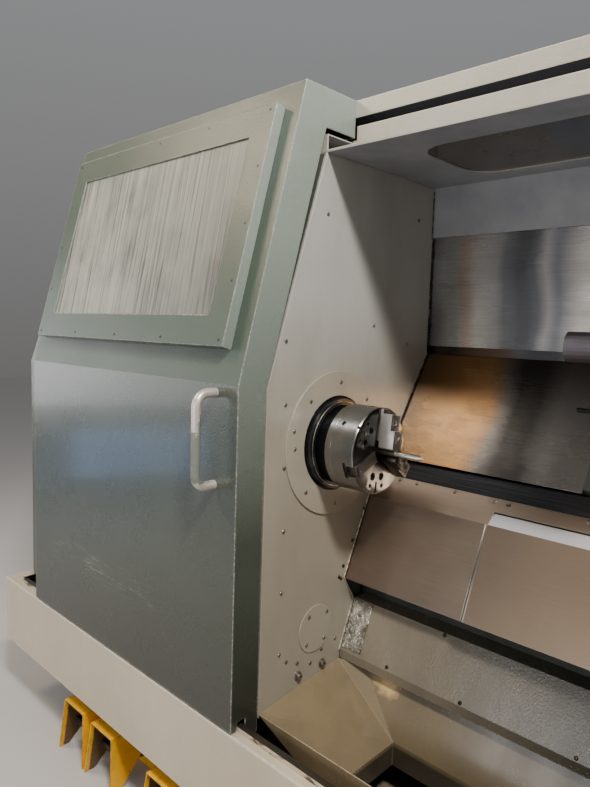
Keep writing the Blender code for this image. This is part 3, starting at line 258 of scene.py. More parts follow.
iron_paint = casting_paint("painted_iron", "#5d625c", "#2e312d")
dress(iron_paint, "base_casting", "headstock_casting", "carriage_saddle", "cross_slide")


# Coolant tray: a pan folded from sheet, its lip turned in all round, sprayed in cream
# enamel that has gone dull and carries drips and rubbed corners, their pale edges partly a painted
# highlight.
def stretched(place, shares):
    """The place with each axis scaled, which draws a pattern out along the small ones."""
    return place.node("ShaderNodeVectorMath", {"operation": "MULTIPLY"}, {0: place, 1: shares})


def facing(place, index):
    """How far the surface faces along X, Y or Z: index 0, 1 or 2."""
    true_normal = place.node("ShaderNodeNewGeometry", output=1)
    return place.node("ShaderNodeSeparateXYZ", None, {0: true_normal}, index)


def coordinate(place, index):
    return place.node("ShaderNodeSeparateXYZ", None, {0: place}, index)


def along(place, index, low, high):
    """0 up to one distance from the datum along X, Y or Z, and 1 from the other on."""
    return between(coordinate(place, index), datum[index] + low, datum[index] + high)


def enamel(name, colour, dark, pale, gloss=0.30, peel=0.00022, peel_scale=170.0, wear=0.35,
           edge_colour="#d9d4c6", edge_radius=0.004, grime=0.5, painted_light_above=None, darker_rightward=None,
           below=None, painted_highlight_at=None, front=None, pooled=None):
    """Sprayed enamel: clouds of tone, orange peel, rubbed edges and fine specks.
    painted_light_above gives a paler colour, painted in as light on the upper part, and the
    heights between which it comes in; darker_rightward gives a colour and the distances from the
    headstock wall between which the sheet turns to it, darker towards the right; below gives a
    colour and the heights between which the shadowed mouth of a chute turns dark, and
    painted_highlight_at gives the place of a golden painted highlight. Front is the colour of the
    faces that look to the front, and pooled the colour of a floor that oil and chips lie on, with
    the height that it is below."""
    look, place = new_finish(name, coat=0.25)
    tone = between(cloud(place, 1.6, 3.0), 0.3, 0.7)
    soil = between(cloud(stretched(place, (1.0, 1.0, 0.35)), 9.0, 6.0, 0.62), 0.42, 0.85)
    specks = between(cloud(place, 330.0, 1.0), 0.71, 0.75)
    sparse = between(cloud(place, 7.0, 3.0), 0.52, 0.66)
    edge = worn_edges(place, edge_radius)
    chips = between(cloud(place, 90.0, 4.0, 0.7), 0.42, 0.58)
    paint = mix(tone, colour, pale)
    for zone, index, strength in ((painted_light_above, 2, 1.0), (darker_rightward, 0, 0.85), (below, 2, 0.85)):
        if zone is not None:
            code, start, full = zone
            paint = mix(along(place, index, start, full) * strength, paint, code)
    # A golden painted highlight, laid round one place and broken up at its rim.
    if painted_highlight_at is not None:
        away = place.node("ShaderNodeVectorMath", {"operation": "DISTANCE"},
                          {0: stretched(place, (0.7, 1.0, 1.0)),
                           1: tuple(at(*painted_highlight_at) * Vector((0.7, 1.0, 1.0)))}, 1)
        flakes = cloud(place, 60.0, 5.0, 0.75)
        glow = between(away + (flakes - 0.5) * 0.05, 0.034, 0.010)
        paint = mix(glow * 0.9, paint, "#e6c384")
    if front is not None:
        paint = mix(between(facing(place, 1), -0.6, -0.8), paint, front)
    if pooled is not None:
        wet = between(facing(place, 2), 0.8, 0.95) * along(place, 2, pooled[1], pooled[1] - 0.01)
        paint = mix(wet * (0.75 + soil * 0.25), paint, pooled[0])
    paint = mix(soil * grime, paint, dark)
    paint = mix(specks * sparse * 0.8, paint, edge_colour)
    paint = mix(edge * (0.45 + chips * 0.55) * wear, paint, edge_colour)
    skin = bumped(cloud(place, peel_scale, 2.0, 0.55), peel, rounded(place, edge_radius))
    return complete(look, paint, gloss + soil * 0.18 - specks * sparse * 0.1,
                    bumped(cloud(place, 2.6, 1.0), 0.012, skin))


# The pale edges are turned up in full: partly rubbed paint and partly a painted highlight.
tray_enamel = enamel("tray_enamel", "#b1a58f", "#8b816c", "#beb39e", gloss=0.36, wear=1.0,
                     edge_colour="#ece5d6", edge_radius=0.009, grime=0.22,
                     pooled=("#41382e", -0.78))
dress(tray_enamel, "coolant_tray")


# Door rails: cold-drawn bar, painted with the tray and rubbed bare on top by the door, and
# a second bar that the door's rollers hang on inside the canopy.
def rail_finish():
    look, place = new_finish("worn_rail")
    top = between(facing(place, 2), 0.4, 0.8)
    flakes = between(cloud(stretched(place, (0.4, 1.0, 1.0)), 45.0, 5.0, 0.6), 0.52, 0.60)
    steel = mix(cloud(stretched(place, (0.05, 1.0, 1.0)), 300.0, 3.0), "#2c2a26", "#5c564b")
    paint = mix(flakes, "#bfae96", "#4a4236")
    return complete(look, mix(top, paint, steel), 0.42 - top * 0.1 + flakes * 0.1,
                    bumped(flakes, 0.0004, rounded(place, 0.0015)), metallic=top * 0.7)


dress(rail_finish(), "door_bottom_rail", "door_top_rail")


# Slant bed and tailstock way: scraped iron ways on a painted casting; the way that shows
# below the slanted cover is dark with oil and drawn with long bright scratches.
def way_finish(name, dark, bright, gloss):
    look, place = new_finish(name, metallic=1.0)
    drawn = cloud(stretched(place, (1.0, 120.0, 120.0)), 6.0, 3.0, 0.6)
    oil = between(cloud(place, 6.0, 4.0), 0.4, 0.65)
    streak = between(drawn, 0.45, 0.75)
    return complete(look, mix(streak * 0.8, dark, bright), gloss + oil * 0.15 + streak * 0.08,
                    bumped(drawn, 0.0003, rounded(place, 0.0015)))


dress(way_finish("oiled_way", "#2b2c2f", "#5d5b58", 0.28), "tailstock_way")
dress(casting_paint("bed_paint", "#4d504b", "#22231f"), "slant_bed")


# Headstock wall: a steel plate in glossy putty enamel, held by button-head screws, with a
# round cover plate over the spindle, a small access cover and a crusty bead of sealant.
# The wall is painted paler and greyer above a height, as painted light on the upper wall.
wall_enamel = enamel("wall_enamel", "#918878", "#6a604e", "#a09888", gloss=0.30, peel=0.00016,
                     peel_scale=120.0, wear=0.25, edge_colour="#cdc6b6", grime=0.30,
                     painted_light_above=("#b0aea7", 0.05, 0.36))
dress(wall_enamel, "headstock_wall", "right_wall")
plate_enamel = enamel("plate_enamel", "#988f7e", "#6f6553", "#a69d8c", gloss=0.28, wear=0.5,
                      edge_colour="#ddd6c6", edge_radius=0.0015, grime=0.25)
dress(plate_enamel, "spindle_cover_plate", "access_cover")


def deselect():
    for item in list(bpy.context.selected_objects):
        item.select_set(False)


def pick(piece):
    """Select this piece alone and make it the active one."""
    deselect()
    piece.select_set(True)
    bpy.context.view_layer.objects.active = piece


def turned(name, steps, sides=32):
    """A piece turned about Z, from (height, radius) steps, as an extruded disc."""
    deselect()
    height, radius = steps[0]
    bpy.ops.mesh.primitive_circle_add(vertices=sides, radius=radius, fill_type="NGON",
                                      location=(0.0, 0.0, height))
    piece = bpy.context.object
    piece.name = name
    bpy.ops.object.transform_apply(location=True, rotation=True, scale=True)
    bpy.ops.object.mode_set(mode="EDIT")
    bpy.ops.mesh.select_all(action="SELECT")
    for next_height, next_radius in steps[1:]:
        bpy.ops.mesh.extrude_region_move(
            TRANSFORM_OT_translate={"value": (0.0, 0.0, next_height - height)})
        grow = next_radius / radius
        bpy.ops.transform.resize(value=(grow, grow, 1.0))
        height, radius = next_height, next_radius
    bpy.ops.mesh.select_all(action="SELECT")
    bpy.ops.mesh.normals_make_consistent(inside=False)
    bpy.ops.object.mode_set(mode="OBJECT")
    bpy.ops.object.shade_smooth_by_angle(angle=math.radians(35.0))
    return piece


def rod(name, radius, low, high, sides=24):
    """A round bar along Z, or a hexagon bar where it has six sides."""
    deselect()
    bpy.ops.mesh.primitive_cylinder_add(vertices=sides, radius=radius, depth=high - low,
                                        location=(0.0, 0.0, (low + high) / 2))
    piece = bpy.context.object
    piece.name = name
    bpy.ops.object.transform_apply(location=True, rotation=True, scale=True)
    return piece


def aimed(place, axis, spin=0.0):
    """The matrix that seats a piece made about Z at a place, with Z along an axis."""
    turn_to = Vector(axis).to_track_quat("Z", "Y").to_matrix().to_4x4()
    return Matrix.Translation(place) @ turn_to @ Matrix.Rotation(spin, 4, "Z")


def keep(piece, look, body):
    """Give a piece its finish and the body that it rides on."""
    piece.data.materials.clear()
    piece.data.materials.append(look)
    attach(piece, body)
    return piece


def copied(name, pattern, seats, look, body):
    """One mesh with a copy of the pattern at each seat; the pattern itself is removed."""
    whole = bmesh.new()
    for seat in seats:
        one = pattern.data.copy()
        one.transform(seat)
        whole.from_mesh(one)
        bpy.data.meshes.remove(one)
    mesh = bpy.data.meshes.new(name)
    whole.to_mesh(mesh)
    whole.free()
    bpy.data.objects.remove(pattern, do_unlink=True)
    made = bpy.data.objects.new(name, mesh)
    bpy.context.scene.collection.objects.link(made)
    return keep(made, look, body)


def modified(piece, kind, **settings):
    """Give a piece a modifier with these settings and apply it."""
    step = piece.modifiers.new(kind.lower(), kind)
    for name, value in settings.items():
        setattr(step, name, value)
    pick(piece)
    bpy.ops.object.modifier_apply(modifier=step.name)


def cut_away(piece, tool):
    """Cut one solid from another and clear the tool away."""
    modified(piece, "BOOLEAN", operation="DIFFERENCE", solver="EXACT", object=tool)
    bpy.data.objects.remove(tool, do_unlink=True)


def button_screw(radius, height):
    """A domed screw with a hexagon socket, standing on Z = 0."""
    screw = turned("button_screw", [(-0.001, radius * 0.7), (0.0, radius), (height * 0.35, radius),
                                    (height * 0.75, radius * 0.86), (height, radius * 0.6)], 20)
    cut_away(screw, rod("socket", radius * 0.42, height * 0.4, height * 1.6, 6))
    return screw


def screw_metal(name, light, dark, gloss=0.32):
    """Plated or blacked screw steel with grime in its corners and spots of rust."""
    look, place = new_finish(name, metallic=0.9)
    grime = between(cloud(place, 140.0, 4.0, 0.7), 0.40, 0.66)
    blot = between(cloud(place, 35.0, 3.0), 0.50, 0.68)
    metal = mix(grime, light, dark)
    return complete(look, mix(blot * 0.7, metal, "#4a3423"), gloss + grime * 0.3,
                    bumped(grime, 0.0002))


zinc_screw = screw_metal("zinc_screw", "#a69f92", "#5a5348")
wall_screw_places = (
    (0.008, 0.155), (-0.103, 0.112), (0.118, 0.105), (-0.158, 0.044), (-0.154, 0.001),
    (-0.110, -0.111), (0.003, -0.157))
field_screw_places = (
    (-0.186, 0.108), (-0.184, -0.042), (-0.180, -0.195), (-0.181, -0.347), (-0.190, 0.256),
    (-0.156, -0.529), (-0.116, -0.547), (-0.067, -0.564), (-0.025, -0.542), (0.030, -0.531),
    (-0.181, -0.502), (0.140, 0.300), (0.300, 0.250), (-0.060, 0.560), (0.330, 0.600))
access_screw_places = ((-0.079, -0.438), (-0.011, -0.443), (-0.019, -0.512), (-0.086, -0.510))
rightward, leftward = (1.0, 0.0, 0.0), (-1.0, 0.0, 0.0)
forward, backward, upward = (0.0, -1.0, 0.0), (0.0, 1.0, 0.0), (0.0, 0.0, 1.0)
seats = [aimed(at(0.0043, y, z), rightward, y * 40) for y, z in wall_screw_places]
seats += [aimed(at(0.0, y, z), rightward, z * 30) for y, z in field_screw_places]
seats += [aimed(at(0.0023, y, z), rightward, z * 50) for y, z in access_screw_places]
copied("wall_screws", button_screw(0.0048, 0.0030), seats, zinc_screw, "machine")
big_bolt = turned("big_bolt", [(-0.001, 0.008), (0.0, 0.0115), (0.0022, 0.0115), (0.0022, 0.0075),
                               (0.009, 0.0075), (0.0095, 0.0070), (0.0095, 0.0042),
                               (0.0045, 0.0040)], 28)
big_places = ((-0.022, -0.580), (-0.112, -0.581))
copied("chute_bolts", big_bolt, [aimed(at(0.0008, y, z), rightward) for y, z in big_places],
       zinc_screw, "machine")


def sealant_finish(name, dark, light, crumbs):
    look, place = new_finish(name)
    crust = cloud(place, 240.0, 5.0, 0.75)
    pale = between(cloud(place, 60.0, 3.0), 0.50, 0.62)
    base = mix(between(crust, 0.35, 0.65), dark, light)
    return complete(look, mix(pale * 0.75, base, crumbs), 0.7, bumped(crust, 0.0015))


def swept(name, radius, roundness, path, swell=lambda step: 1.0):
    """A round section swept along a path, as thick at each step as swell says."""
    data = bpy.data.curves.new(name, "CURVE")
    data.dimensions = "3D"
    data.bevel_depth = radius
    data.bevel_resolution = roundness
    data.use_fill_caps = True
    spline = data.splines.new("POLY")
    spline.points.add(len(path) - 1)
    for step, (point, where) in enumerate(zip(spline.points, path)):
        point.co = (*at(*where), 1.0)
        point.radius = swell(step)
    curve = bpy.data.objects.new(name + "_curve", data)
    bpy.context.scene.collection.objects.link(curve)
    bpy.context.view_layer.update()
    mesh = bpy.data.meshes.new_from_object(
        curve.evaluated_get(bpy.context.evaluated_depsgraph_get()))
    bpy.data.objects.remove(curve, do_unlink=True)
    piece = bpy.data.objects.new(name, mesh)
    bpy.context.scene.collection.objects.link(piece)
    for face in mesh.polygons:
        face.use_smooth = True
    return piece


def sealant_bead(name, path, radius, look):
    """A hand-laid bead along the seam, swollen and pitted along its length."""
    points = []
    for start, end in zip(path, path[1:]):
        count = max(2, int((Vector(end) - Vector(start)).length / (radius * 1.2)))
        points += [Vector(start).lerp(Vector(end), i / count) for i in range(count)]
    points.append(Vector(path[-1]))
    bead = swept(name, radius, 3, points, lambda step: 0.75 + 0.22 * math.sin(step * 1.7)
                 + 0.14 * math.sin(step * 0.61 + 2.0))
    return keep(bead, look, "machine")


seam_path = [(0.0012, y, z) for y, z in (
    (0.4015, 0.690), (0.4015, 0.561), (0.4060, 0.556), (0.4060, 0.2235), (0.2305, -0.0625),
    (0.2170, -0.0870), (0.1830, -0.0950), (0.1505, -0.1600), (0.0565, -0.3700),
    (0.1010, -0.4380), (0.0470, -0.5690))]
old_sealant = sealant_finish("old_sealant", "#17181c", "#3d3933", "#8d8577")
sealant_bead("wall_bead", seam_path[:7], 0.0021, old_sealant)
pale_sealant = sealant_finish("pale_sealant", "#6d604c", "#c9bda8", "#ded5c4")
sealant_bead("lower_bead", seam_path[6:], 0.0024, pale_sealant)
seam_screw_places = ((0.1370, -0.1960), (0.0905, -0.2760), (0.0560, -0.3380), (0.0400, -0.3640),
                     (0.0480, -0.3700))
dark_screw = screw_metal("dark_screw", "#4c463d", "#1d1b18")
copied("seam_screws", button_screw(0.0045, 0.0034),
       [aimed(at(0.0, y - 0.004, z), rightward, y * 70) for y, z in seam_screw_places],
       dark_screw, "machine")


def rubber(name, colour, gloss=0.5):
    look, place = new_finish(name)
    dust = between(cloud(place, 30.0, 5.0, 0.7), 0.45, 0.75)
    return complete(look, mix(dust * 0.5, colour, "#4b4a46"), gloss + dust * 0.2,
                    bumped(cloud(place, 500.0, 2.0), 0.0001, rounded(place, 0.0012)))


def corners(name):
    """The lowest and the highest corner of a node, measured from the datum."""
    return [Vector(corner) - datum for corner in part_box(name)]


dress(rubber("seal_rubber", "#101114", 0.28), "spindle_seal_ring")
ring_low, ring_high = corners("spindle_seal_ring")
ring_radius = (ring_high.z - ring_low.z) / 2
seal_lip = turned("seal_lip", [(-0.0008, ring_radius - 0.0060), (0.0010, ring_radius - 0.0060),
                               (0.0016, ring_radius - 0.0068)], 72)
cut_away(seal_lip, rod("bore", ring_radius - 0.0082, -0.01, 0.01, 72))
copied("seal_lip", seal_lip, [aimed(at(ring_high.x, 0.0, 0.0), rightward)],
       screw_metal("polished_lip", "#c9c4ba", "#77736c", 0.25), "machine")
dress(rubber("belt_rubber", "#141414", 0.6), "drive_belt")


# Levelling feet and drain: an ear welded to the base at each corner carries a screw and two
# nuts over a round pad. The tray drains through a hexagon plug at its right end, and a black
# stand pipe rises from its floor under the chute's mouth.
def unite(piece, other):
    """Join another solid to a piece and clear the other away."""
    modified(piece, "BOOLEAN", operation="UNION", solver="EXACT", object=other)
    bpy.data.objects.remove(other, do_unlink=True)


def soften(piece, width):
    """Round the sharp edges of a piece."""
    modified(piece, "BEVEL", width=width, segments=2, limit_method="ANGLE")
    bpy.ops.object.shade_smooth_by_angle(angle=math.radians(35.0))


def block(name, low, high, bevel=0.0):
    """A box from one corner to the other, its edges rounded where a bevel is given."""
    deselect()
    centre = [(a + b) / 2 for a, b in zip(low, high)]
    bpy.ops.mesh.primitive_cube_add(size=1.0, location=centre,
                                    scale=[b - a for a, b in zip(low, high)])
    piece = bpy.context.object
    piece.name = name
    bpy.ops.object.transform_apply(location=True, rotation=True, scale=True)
    if bevel:
        soften(piece, bevel)
    return piece


base_low, base_high = corners("base_casting")
ear_x = (base_low.x + 0.09, base_high.x - 0.09)
ears = [(x, base_low.y, -1.0) for x in ear_x] + [(x, base_high.y, 1.0) for x in ear_x]
ear = block("ear", (-0.040, -0.002, -0.012), (0.040, 0.058, 0.012), 0.004)
copied("levelling_ears", ear,
       [Matrix.Translation(at(x, y, base_low.z + 0.062))
        @ Matrix.Rotation(0.0 if side > 0 else math.pi, 4, "Z") for x, y, side in ears],
       iron_paint, "machine")
foot = turned("foot", [(0.0, 0.030), (0.008, 0.030), (0.014, 0.016), (0.020, 0.0085),
                       (0.104, 0.0085), (0.106, 0.0070)], 28)
unite(foot, rod("nut", 0.0160, 0.037, 0.0500, 6))
unite(foot, rod("lock_nut", 0.0160, 0.0740, 0.0860, 6))
copied("levelling_screws", foot,
       [Matrix.Translation(at(x, y + side * 0.034, base_low.z)) for x, y, side in ears],
       zinc_screw, "machine")
tray_low, tray_high = corners("coolant_tray")
drain = turned("drain_boss", [(-0.0005, 0.024), (0.006, 0.024), (0.009, 0.020)], 32)
unite(drain, rod("drain_head", 0.0140, 0.006, 0.020, 6))
stand_pipe = turned("stand_pipe", [(0.0, 0.019), (0.100, 0.019), (0.100, 0.023), (0.118, 0.023),
                                   (0.122, 0.021), (0.122, 0.016), (0.060, 0.0155)], 32)
copied("stand_pipe", stand_pipe, [Matrix.Translation(at(0.236, -0.188, tray_low.z + 0.0042))],
       rubber("pipe_rubber", "#0d0e10", 0.35), "machine")
copied("drain_plug", drain, [aimed(at(tray_high.x, 0.20, tray_low.z + 0.040), rightward)],
       zinc_screw, "machine")


# Chip chute and bed apron: thin sheet in the same putty enamel, scratched and darker towards
# the right, with a hammered gusset closing the corner by the wall.
# The chute carries a golden painted highlight.
chute_enamel = enamel("chute_enamel", "#7b6b50", "#4a3e2b", "#8a7a5f", gloss=0.26, peel=0.0002,
                      peel_scale=90.0, wear=0.6, edge_colour="#cdbfa4", edge_radius=0.002,
                      grime=0.55, darker_rightward=("#3b342a", 0.10, 0.62),
                      below=("#2b2924", -0.724, -0.732), painted_highlight_at=(0.150, 0.063, -0.612))
dress(chute_enamel, "chip_chute")
# Like the chute, the apron turns darker towards the right.
apron_enamel = enamel("apron_enamel", "#776b57", "#3d382d", "#8a8272", gloss=0.24, peel=0.0007,
                      peel_scale=210.0, wear=0.8, edge_colour="#d8cfbd", edge_radius=0.003,
                      grime=0.45, darker_rightward=("#24221e", 0.15, 0.62))
dress(apron_enamel, "bed_apron")


def hammered_finish():
    """The gusset: thin bright sheet beaten into the corner, crumpled all over."""
    look, place = new_finish("hammered_sheet", metallic=0.75)
    crumple = cloud(place, 62.0, 3.0, 0.55, 1.2)
    soot = between(cloud(place, 40.0, 4.0), 0.40, 0.65)
    return complete(look, mix(soot, "#cfc9ba", "#6d675a"), 0.20 + soot * 0.15,
                    bumped(crumple, 0.010))


def sloped(run):
    """The turn that keeps X level and lays Z along a slope."""
    level_axis, up_slope = Vector((1.0, 0.0, 0.0)), run.normalized()
    return Matrix((level_axis, up_slope.cross(level_axis), up_slope)).transposed().to_4x4()


gusset_low, gusset_high = Vector((0.0, 0.0567, -0.5600)), Vector((0.0, 0.1057, -0.4420))
gusset_run = gusset_high - gusset_low
gusset = block("gusset", (0.0, 0.0, 0.0), (0.064, 0.0022, gusset_run.length), 0.0008)
pick(gusset)
bpy.ops.object.mode_set(mode="EDIT")
bpy.ops.mesh.select_all(action="SELECT")
bpy.ops.mesh.subdivide(number_cuts=5)
bpy.ops.object.mode_set(mode="OBJECT")
for corner in gusset.data.vertices:
    if corner.co.y < 0.001:
        dent = math.sin(corner.co.x * 190.0) * math.cos(corner.co.z * 130.0)
        corner.co.y -= 0.0012 * (1.0 + dent)
gusset.data.transform(Matrix.Translation(at(0.0035, gusset_low.y - 0.0024, gusset_low.z))
                      @ sloped(gusset_run))
keep(gusset, hammered_finish(), "machine")
apron_screw_places = ((0.2824, 0.1035, -0.4434), (0.1525, 0.0545, -0.5596),
                      (0.3587, 0.0540, -0.5622), (0.6200, 0.0540, -0.5622),
                      (0.8800, 0.0540, -0.5622), (0.7000, 0.1035, -0.4434))
copied("apron_screws", button_screw(0.0044, 0.0030),
       [aimed(at(*where), (0.0, -0.92, 0.39), where[0] * 40) for where in apron_screw_places],
       dark_screw, "machine")


# Way guards: brushed stainless sheet over the bed's front, the right one standing proud
# with a bright bevelled top edge and held by small screws.
def brushed(name, dark, light, axis, gloss=0.30, warm=None, smear=0.3, painted_reflections=(), fold=None):
    """Brushed stainless sheet; axis is 0, 1 or 2, the one that the brushing follows.
    Each painted reflection is a colour, how strong it is and the X where it comes in, is full,
    still full
    and gone: pale, warm and dark bands of painted reflection beside the chuck. Above the
    height of the fold the sheet is dark with oil."""
    look, place = new_finish(name, metallic=1.0)
    shares = [300.0, 300.0, 300.0]
    shares[axis] = 3.0
    drawn = between(cloud(stretched(place, shares), 4.0, 3.0, 0.6), 0.3, 0.7)
    shares[axis] = 8.0
    lines = between(cloud(stretched(place, [share / 5 for share in shares]), 4.0, 4.0, 0.65),
                    0.35, 0.65)
    stain = between(cloud(stretched(place, (1.0, 2.0, 2.0)), 5.0, 6.0, 0.62), 0.45, 0.85)
    blotch = between(cloud(place, 2.1, 3.0), 0.35, 0.65)
    metal = mix(drawn * 0.35 + blotch * 0.35, dark, light)
    if warm is not None:
        metal = mix(blotch * 0.4, metal, warm)
    wander = (cloud(place, 2.2, 3.0) - 0.5) * 0.16
    across = coordinate(place, 0) + wander
    for colour, strength, start, full, still, gone in painted_reflections:
        mask = (between(across, datum.x + start, datum.x + full)
                * between(across, datum.x + gone, datum.x + still))
        metal = mix(mask * strength, metal, colour)
    metal = mix(lines * 0.22, metal, dark)
    metal = mix(stain * smear, metal, dark)
    if fold is not None:
        high = along(place, 2, fold, fold + 0.002)
        metal = mix(high * 0.9, metal, "#2b2c30")
    metal = mix(between(facing(place, 2), 0.8, 0.95) * 0.9, metal, "#26272b")
    metal = mix(worn_edges(place, 0.0016) * 0.6, metal, "#e2dcd2")
    normal = bumped(drawn, 0.00003, rounded(place, 0.0012))
    return complete(look, metal, gloss + drawn * 0.06 + stain * 0.14,
                    bumped(cloud(place, 2.6, 1.5), 0.008, normal))


dress(brushed("guard_steel", "#85766a", "#b5a391", 0, 0.34, "#b89d84"), "guard_left")


def proud_guard_finish():
    """The proud guard: dull sheet with rubbed edges, its bevelled top edge, which faces up,
    painted pale as a painted highlight.
    """
    look, place = new_finish("proud_guard")
    drawn = cloud(stretched(place, (1.5, 60.0, 60.0)), 5.0, 5.0, 0.7)
    stain = between(cloud(place, 3.0, 5.0, 0.6), 0.4, 0.75)
    # The upward bevel is painted pale, as a painted highlight.
    bevel = between(facing(place, 2), 0.55, 0.75)
    sheet = mix(drawn * 0.5 + stain * 0.4, "#9a8774", "#7b6a5a")
    sheet = mix(worn_edges(place, 0.002) * 0.8, sheet, "#e6e0d6")
    return complete(look, mix(bevel, sheet, "#b9b6b7"), 0.32 + stain * 0.12,
                    bumped(cloud(place, 2.6, 1.5), 0.010, rounded(place, 0.0015)),
                    metallic=0.85 - bevel * 0.7)


dress(proud_guard_finish(), "guard_right")
# The lip and fold strips are pale worn steel, which also stands as a painted highlight along the
# seam.
highlight_lip_steel = brushed("highlight_lip_steel", "#8f8578", "#d5ccc0", 2, 0.28)
knee_y, knee_z, foot_y, foot_z = 0.1554, -0.1634, 0.0610, -0.3740
lip_run = Vector((0.0, foot_y - knee_y, foot_z - knee_z))
for name, low_x, high_x, proud in (("guard_lip", 0.3420, 0.3448, 0.0040),
                                   ("guard_fold", 0.3450, 0.3518, 0.0022)):
    lip = block(name, (0.0, -0.0010, 0.0), (high_x - low_x, proud, lip_run.length), 0.0006)
    lip.data.transform(Matrix.Translation(at(low_x, knee_y, knee_z)) @ sloped(lip_run))
    keep(lip, highlight_lip_steel, "machine")
guard_screw_places = ((0.0662, 0.2009, -0.1153), (0.1207, 0.2005, -0.1157),
                      (0.2331, 0.2014, -0.1147), (0.3420, 0.2002, -0.1159),
                      (0.3775, 0.1995, -0.1166), (0.5600, 0.2002, -0.1159),
                      (0.7600, 0.2002, -0.1159), (0.9600, 0.2002, -0.1159))
copied("guard_screws", button_screw(0.0052, 0.0030),
       [aimed(at(*place), (0.0, -0.72, 0.69), place[0] * 50) for place in guard_screw_places],
       zinc_screw, "machine")


# Canopy and lamp: one folded roof sheet in beige enamel, painted dark inside the chamber
# as painted shade, with the lamp behind a two-part glass in the ceiling.
def canopy_finish():
    """Beige enamel, its pale edges partly rubbed paint and partly a painted highlight; the
    underside and the channel inside the chamber are painted dark blue-grey as painted shade, and
    the back strip is given the same dark blue-grey.
    """
    look, place = new_finish("canopy_enamel", coat=0.25)
    tone = between(cloud(place, 1.8, 3.0), 0.3, 0.7)
    soil = between(cloud(place, 12.0, 6.0, 0.62), 0.5, 0.75)
    edge = worn_edges(place, 0.004)
    specks = between(cloud(place, 300.0, 1.0), 0.73, 0.77)
    paint = mix(tone, "#a39f90", "#b3aea0")
    paint = mix(soil * 0.25, paint, "#7d796c")
    paint = mix(specks * 0.7, paint, "#dedacd")
    paint = mix(edge * 0.65, paint, "#ebe7db")
    # The colour held in oil is the blue-grey and navy of painted shade, not oil; it goes on the
    # underside and the channel, and the back strip is given it too.
    oil = mix(between(cloud(place, 6.0, 5.0, 0.6), 0.35, 0.7), "#80838f", "#9ea2a8")
    oil = mix(along(place, 2, 0.7429, 0.7445), oil, "#2b3040")
    underneath = between(facing(place, 2), -0.3, -0.7)
    channel = (along(place, 2, 0.7429, 0.7445) * along(place, 2, 0.8032, 0.8025)
               * along(place, 1, -0.06, 0.0) * along(place, 1, 0.64, 0.60))
    back_strip = (along(place, 1, 0.38, 0.40) * along(place, 1, 0.50, 0.42)
                  * along(place, 2, 0.72, 0.71))
    below = underneath.sum("MAXIMUM", underneath, channel)
    dark = below.sum("MAXIMUM", below, back_strip * 0.9)
    skin = bumped(cloud(place, 170.0, 2.0, 0.55), 0.0004, rounded(place, 0.004))
    return complete(look, mix(dark * 0.92, paint, oil), 0.34 - dark * 0.08,
                    bumped(cloud(place, 3.0, 1.0), 0.008, skin))


dress(canopy_finish(), "canopy")
roof_top = corners("canopy")[1].z
copied("roof_screws", button_screw(0.0055, 0.0030),
       [aimed(at(x, y, roof_top), upward, x * 20)
        for x in (-1.15, -0.75, -0.35, 0.05, 0.45, 0.85, 1.25, 1.57) for y in (0.06, 0.62)],
       zinc_screw, "machine")


def lamp_glass_finish():
    look, place = new_finish("lamp_glass")
    smoke = between(cloud(place, 9.0, 5.0), 0.4, 0.7)
    split = along(place, 0, 0.448, 0.450)
    pane = mix(split, "#4a4238", "#2b3140")
    return complete(look, mix(smoke * 0.4, pane, "#5b574e"), 0.12 + smoke * 0.2)


dress(lamp_glass_finish(), "lamp_glass")


# Housings: the folded enclosure behind the open door, with the electrical cabinet at the back;
# the green end housing on the right comes with the door below.
dress(enamel("housing_enamel", "#a39c8e", "#7b7464", "#b3ac9f", gloss=0.33, wear=0.5,
             grime=0.25), "rear_cabinet", "cabinet_door")
dress(enamel("headstock_enamel", "#a39c8e", "#7b7464", "#b3ac9f", gloss=0.33, wear=0.5,
             grime=0.25, front="#42483e"), "headstock_housing")
panel_enamel = enamel("hatch_enamel", "#a9a294", "#7b7464", "#b9b2a5", gloss=0.33, wear=0.7,
                      edge_radius=0.0015, grime=0.25)
latch_black = rubber("latch_plastic", "#151617", 0.4)


def hatch(name, low, high, axis, look, body):
    """A sheet cover 2 mm thick on a flat side, with a screw at each corner and mid-side."""
    sheet = block(name, low, high, 0.0008)
    sheet.data.transform(Matrix.Translation(datum))
    keep(sheet, look, body)
    out = [i for i in range(3) if axis[i]][0]
    face = high[out] if axis[out] > 0 else low[out]
    first, second = [i for i in range(3) if i != out]
    screw_inset = 0.022
    rows = [(low[i] + screw_inset, (low[i] + high[i]) / 2, high[i] - screw_inset)
            for i in (first, second)]
    seats = []
    for a, b in ((a, b) for a in rows[0] for b in rows[1] if (a, b) != (rows[0][1], rows[1][1])):
        where = [0.0, 0.0, 0.0]
        where[out], where[first], where[second] = face, a, b
        seats.append(aimed(at(*where), axis, a * 37))
    copied(name + "_screws", button_screw(0.0050, 0.0028), seats, zinc_screw, body)


def sliced(piece, planes):
    """Cut off what lies beyond each plane, given as a point and the way out, and close it."""
    pick(piece)
    bpy.ops.object.mode_set(mode="EDIT")
    for point, out in planes:
        bpy.ops.mesh.select_all(action="SELECT")
        bpy.ops.mesh.bisect(plane_co=point, plane_no=out, use_fill=True, clear_outer=True)
    bpy.ops.object.mode_set(mode="OBJECT")


def vent(name, centre, axis, width, lines, look, body):
    """Pressed louvres, one above the other, open at the bottom."""
    pitch = 0.026
    scoop = block("scoop", (-width / 2, -0.0080, -0.0005), (width / 2, 0.0080, 0.0080))
    sliced(scoop, [((0.0, 0.0080, 0.0), (0.0, 0.0080, 0.0160))]
           + [((side * width / 2, 0.0, 0.0), (side * 0.008, 0.0, 0.010)) for side in (-1, 1)])
    middle_line = (lines - 1) / 2
    copied(name, scoop, [aimed(at(centre[0], centre[1], centre[2] + (line - middle_line) * pitch),
                               axis) for line in range(lines)], look, body)


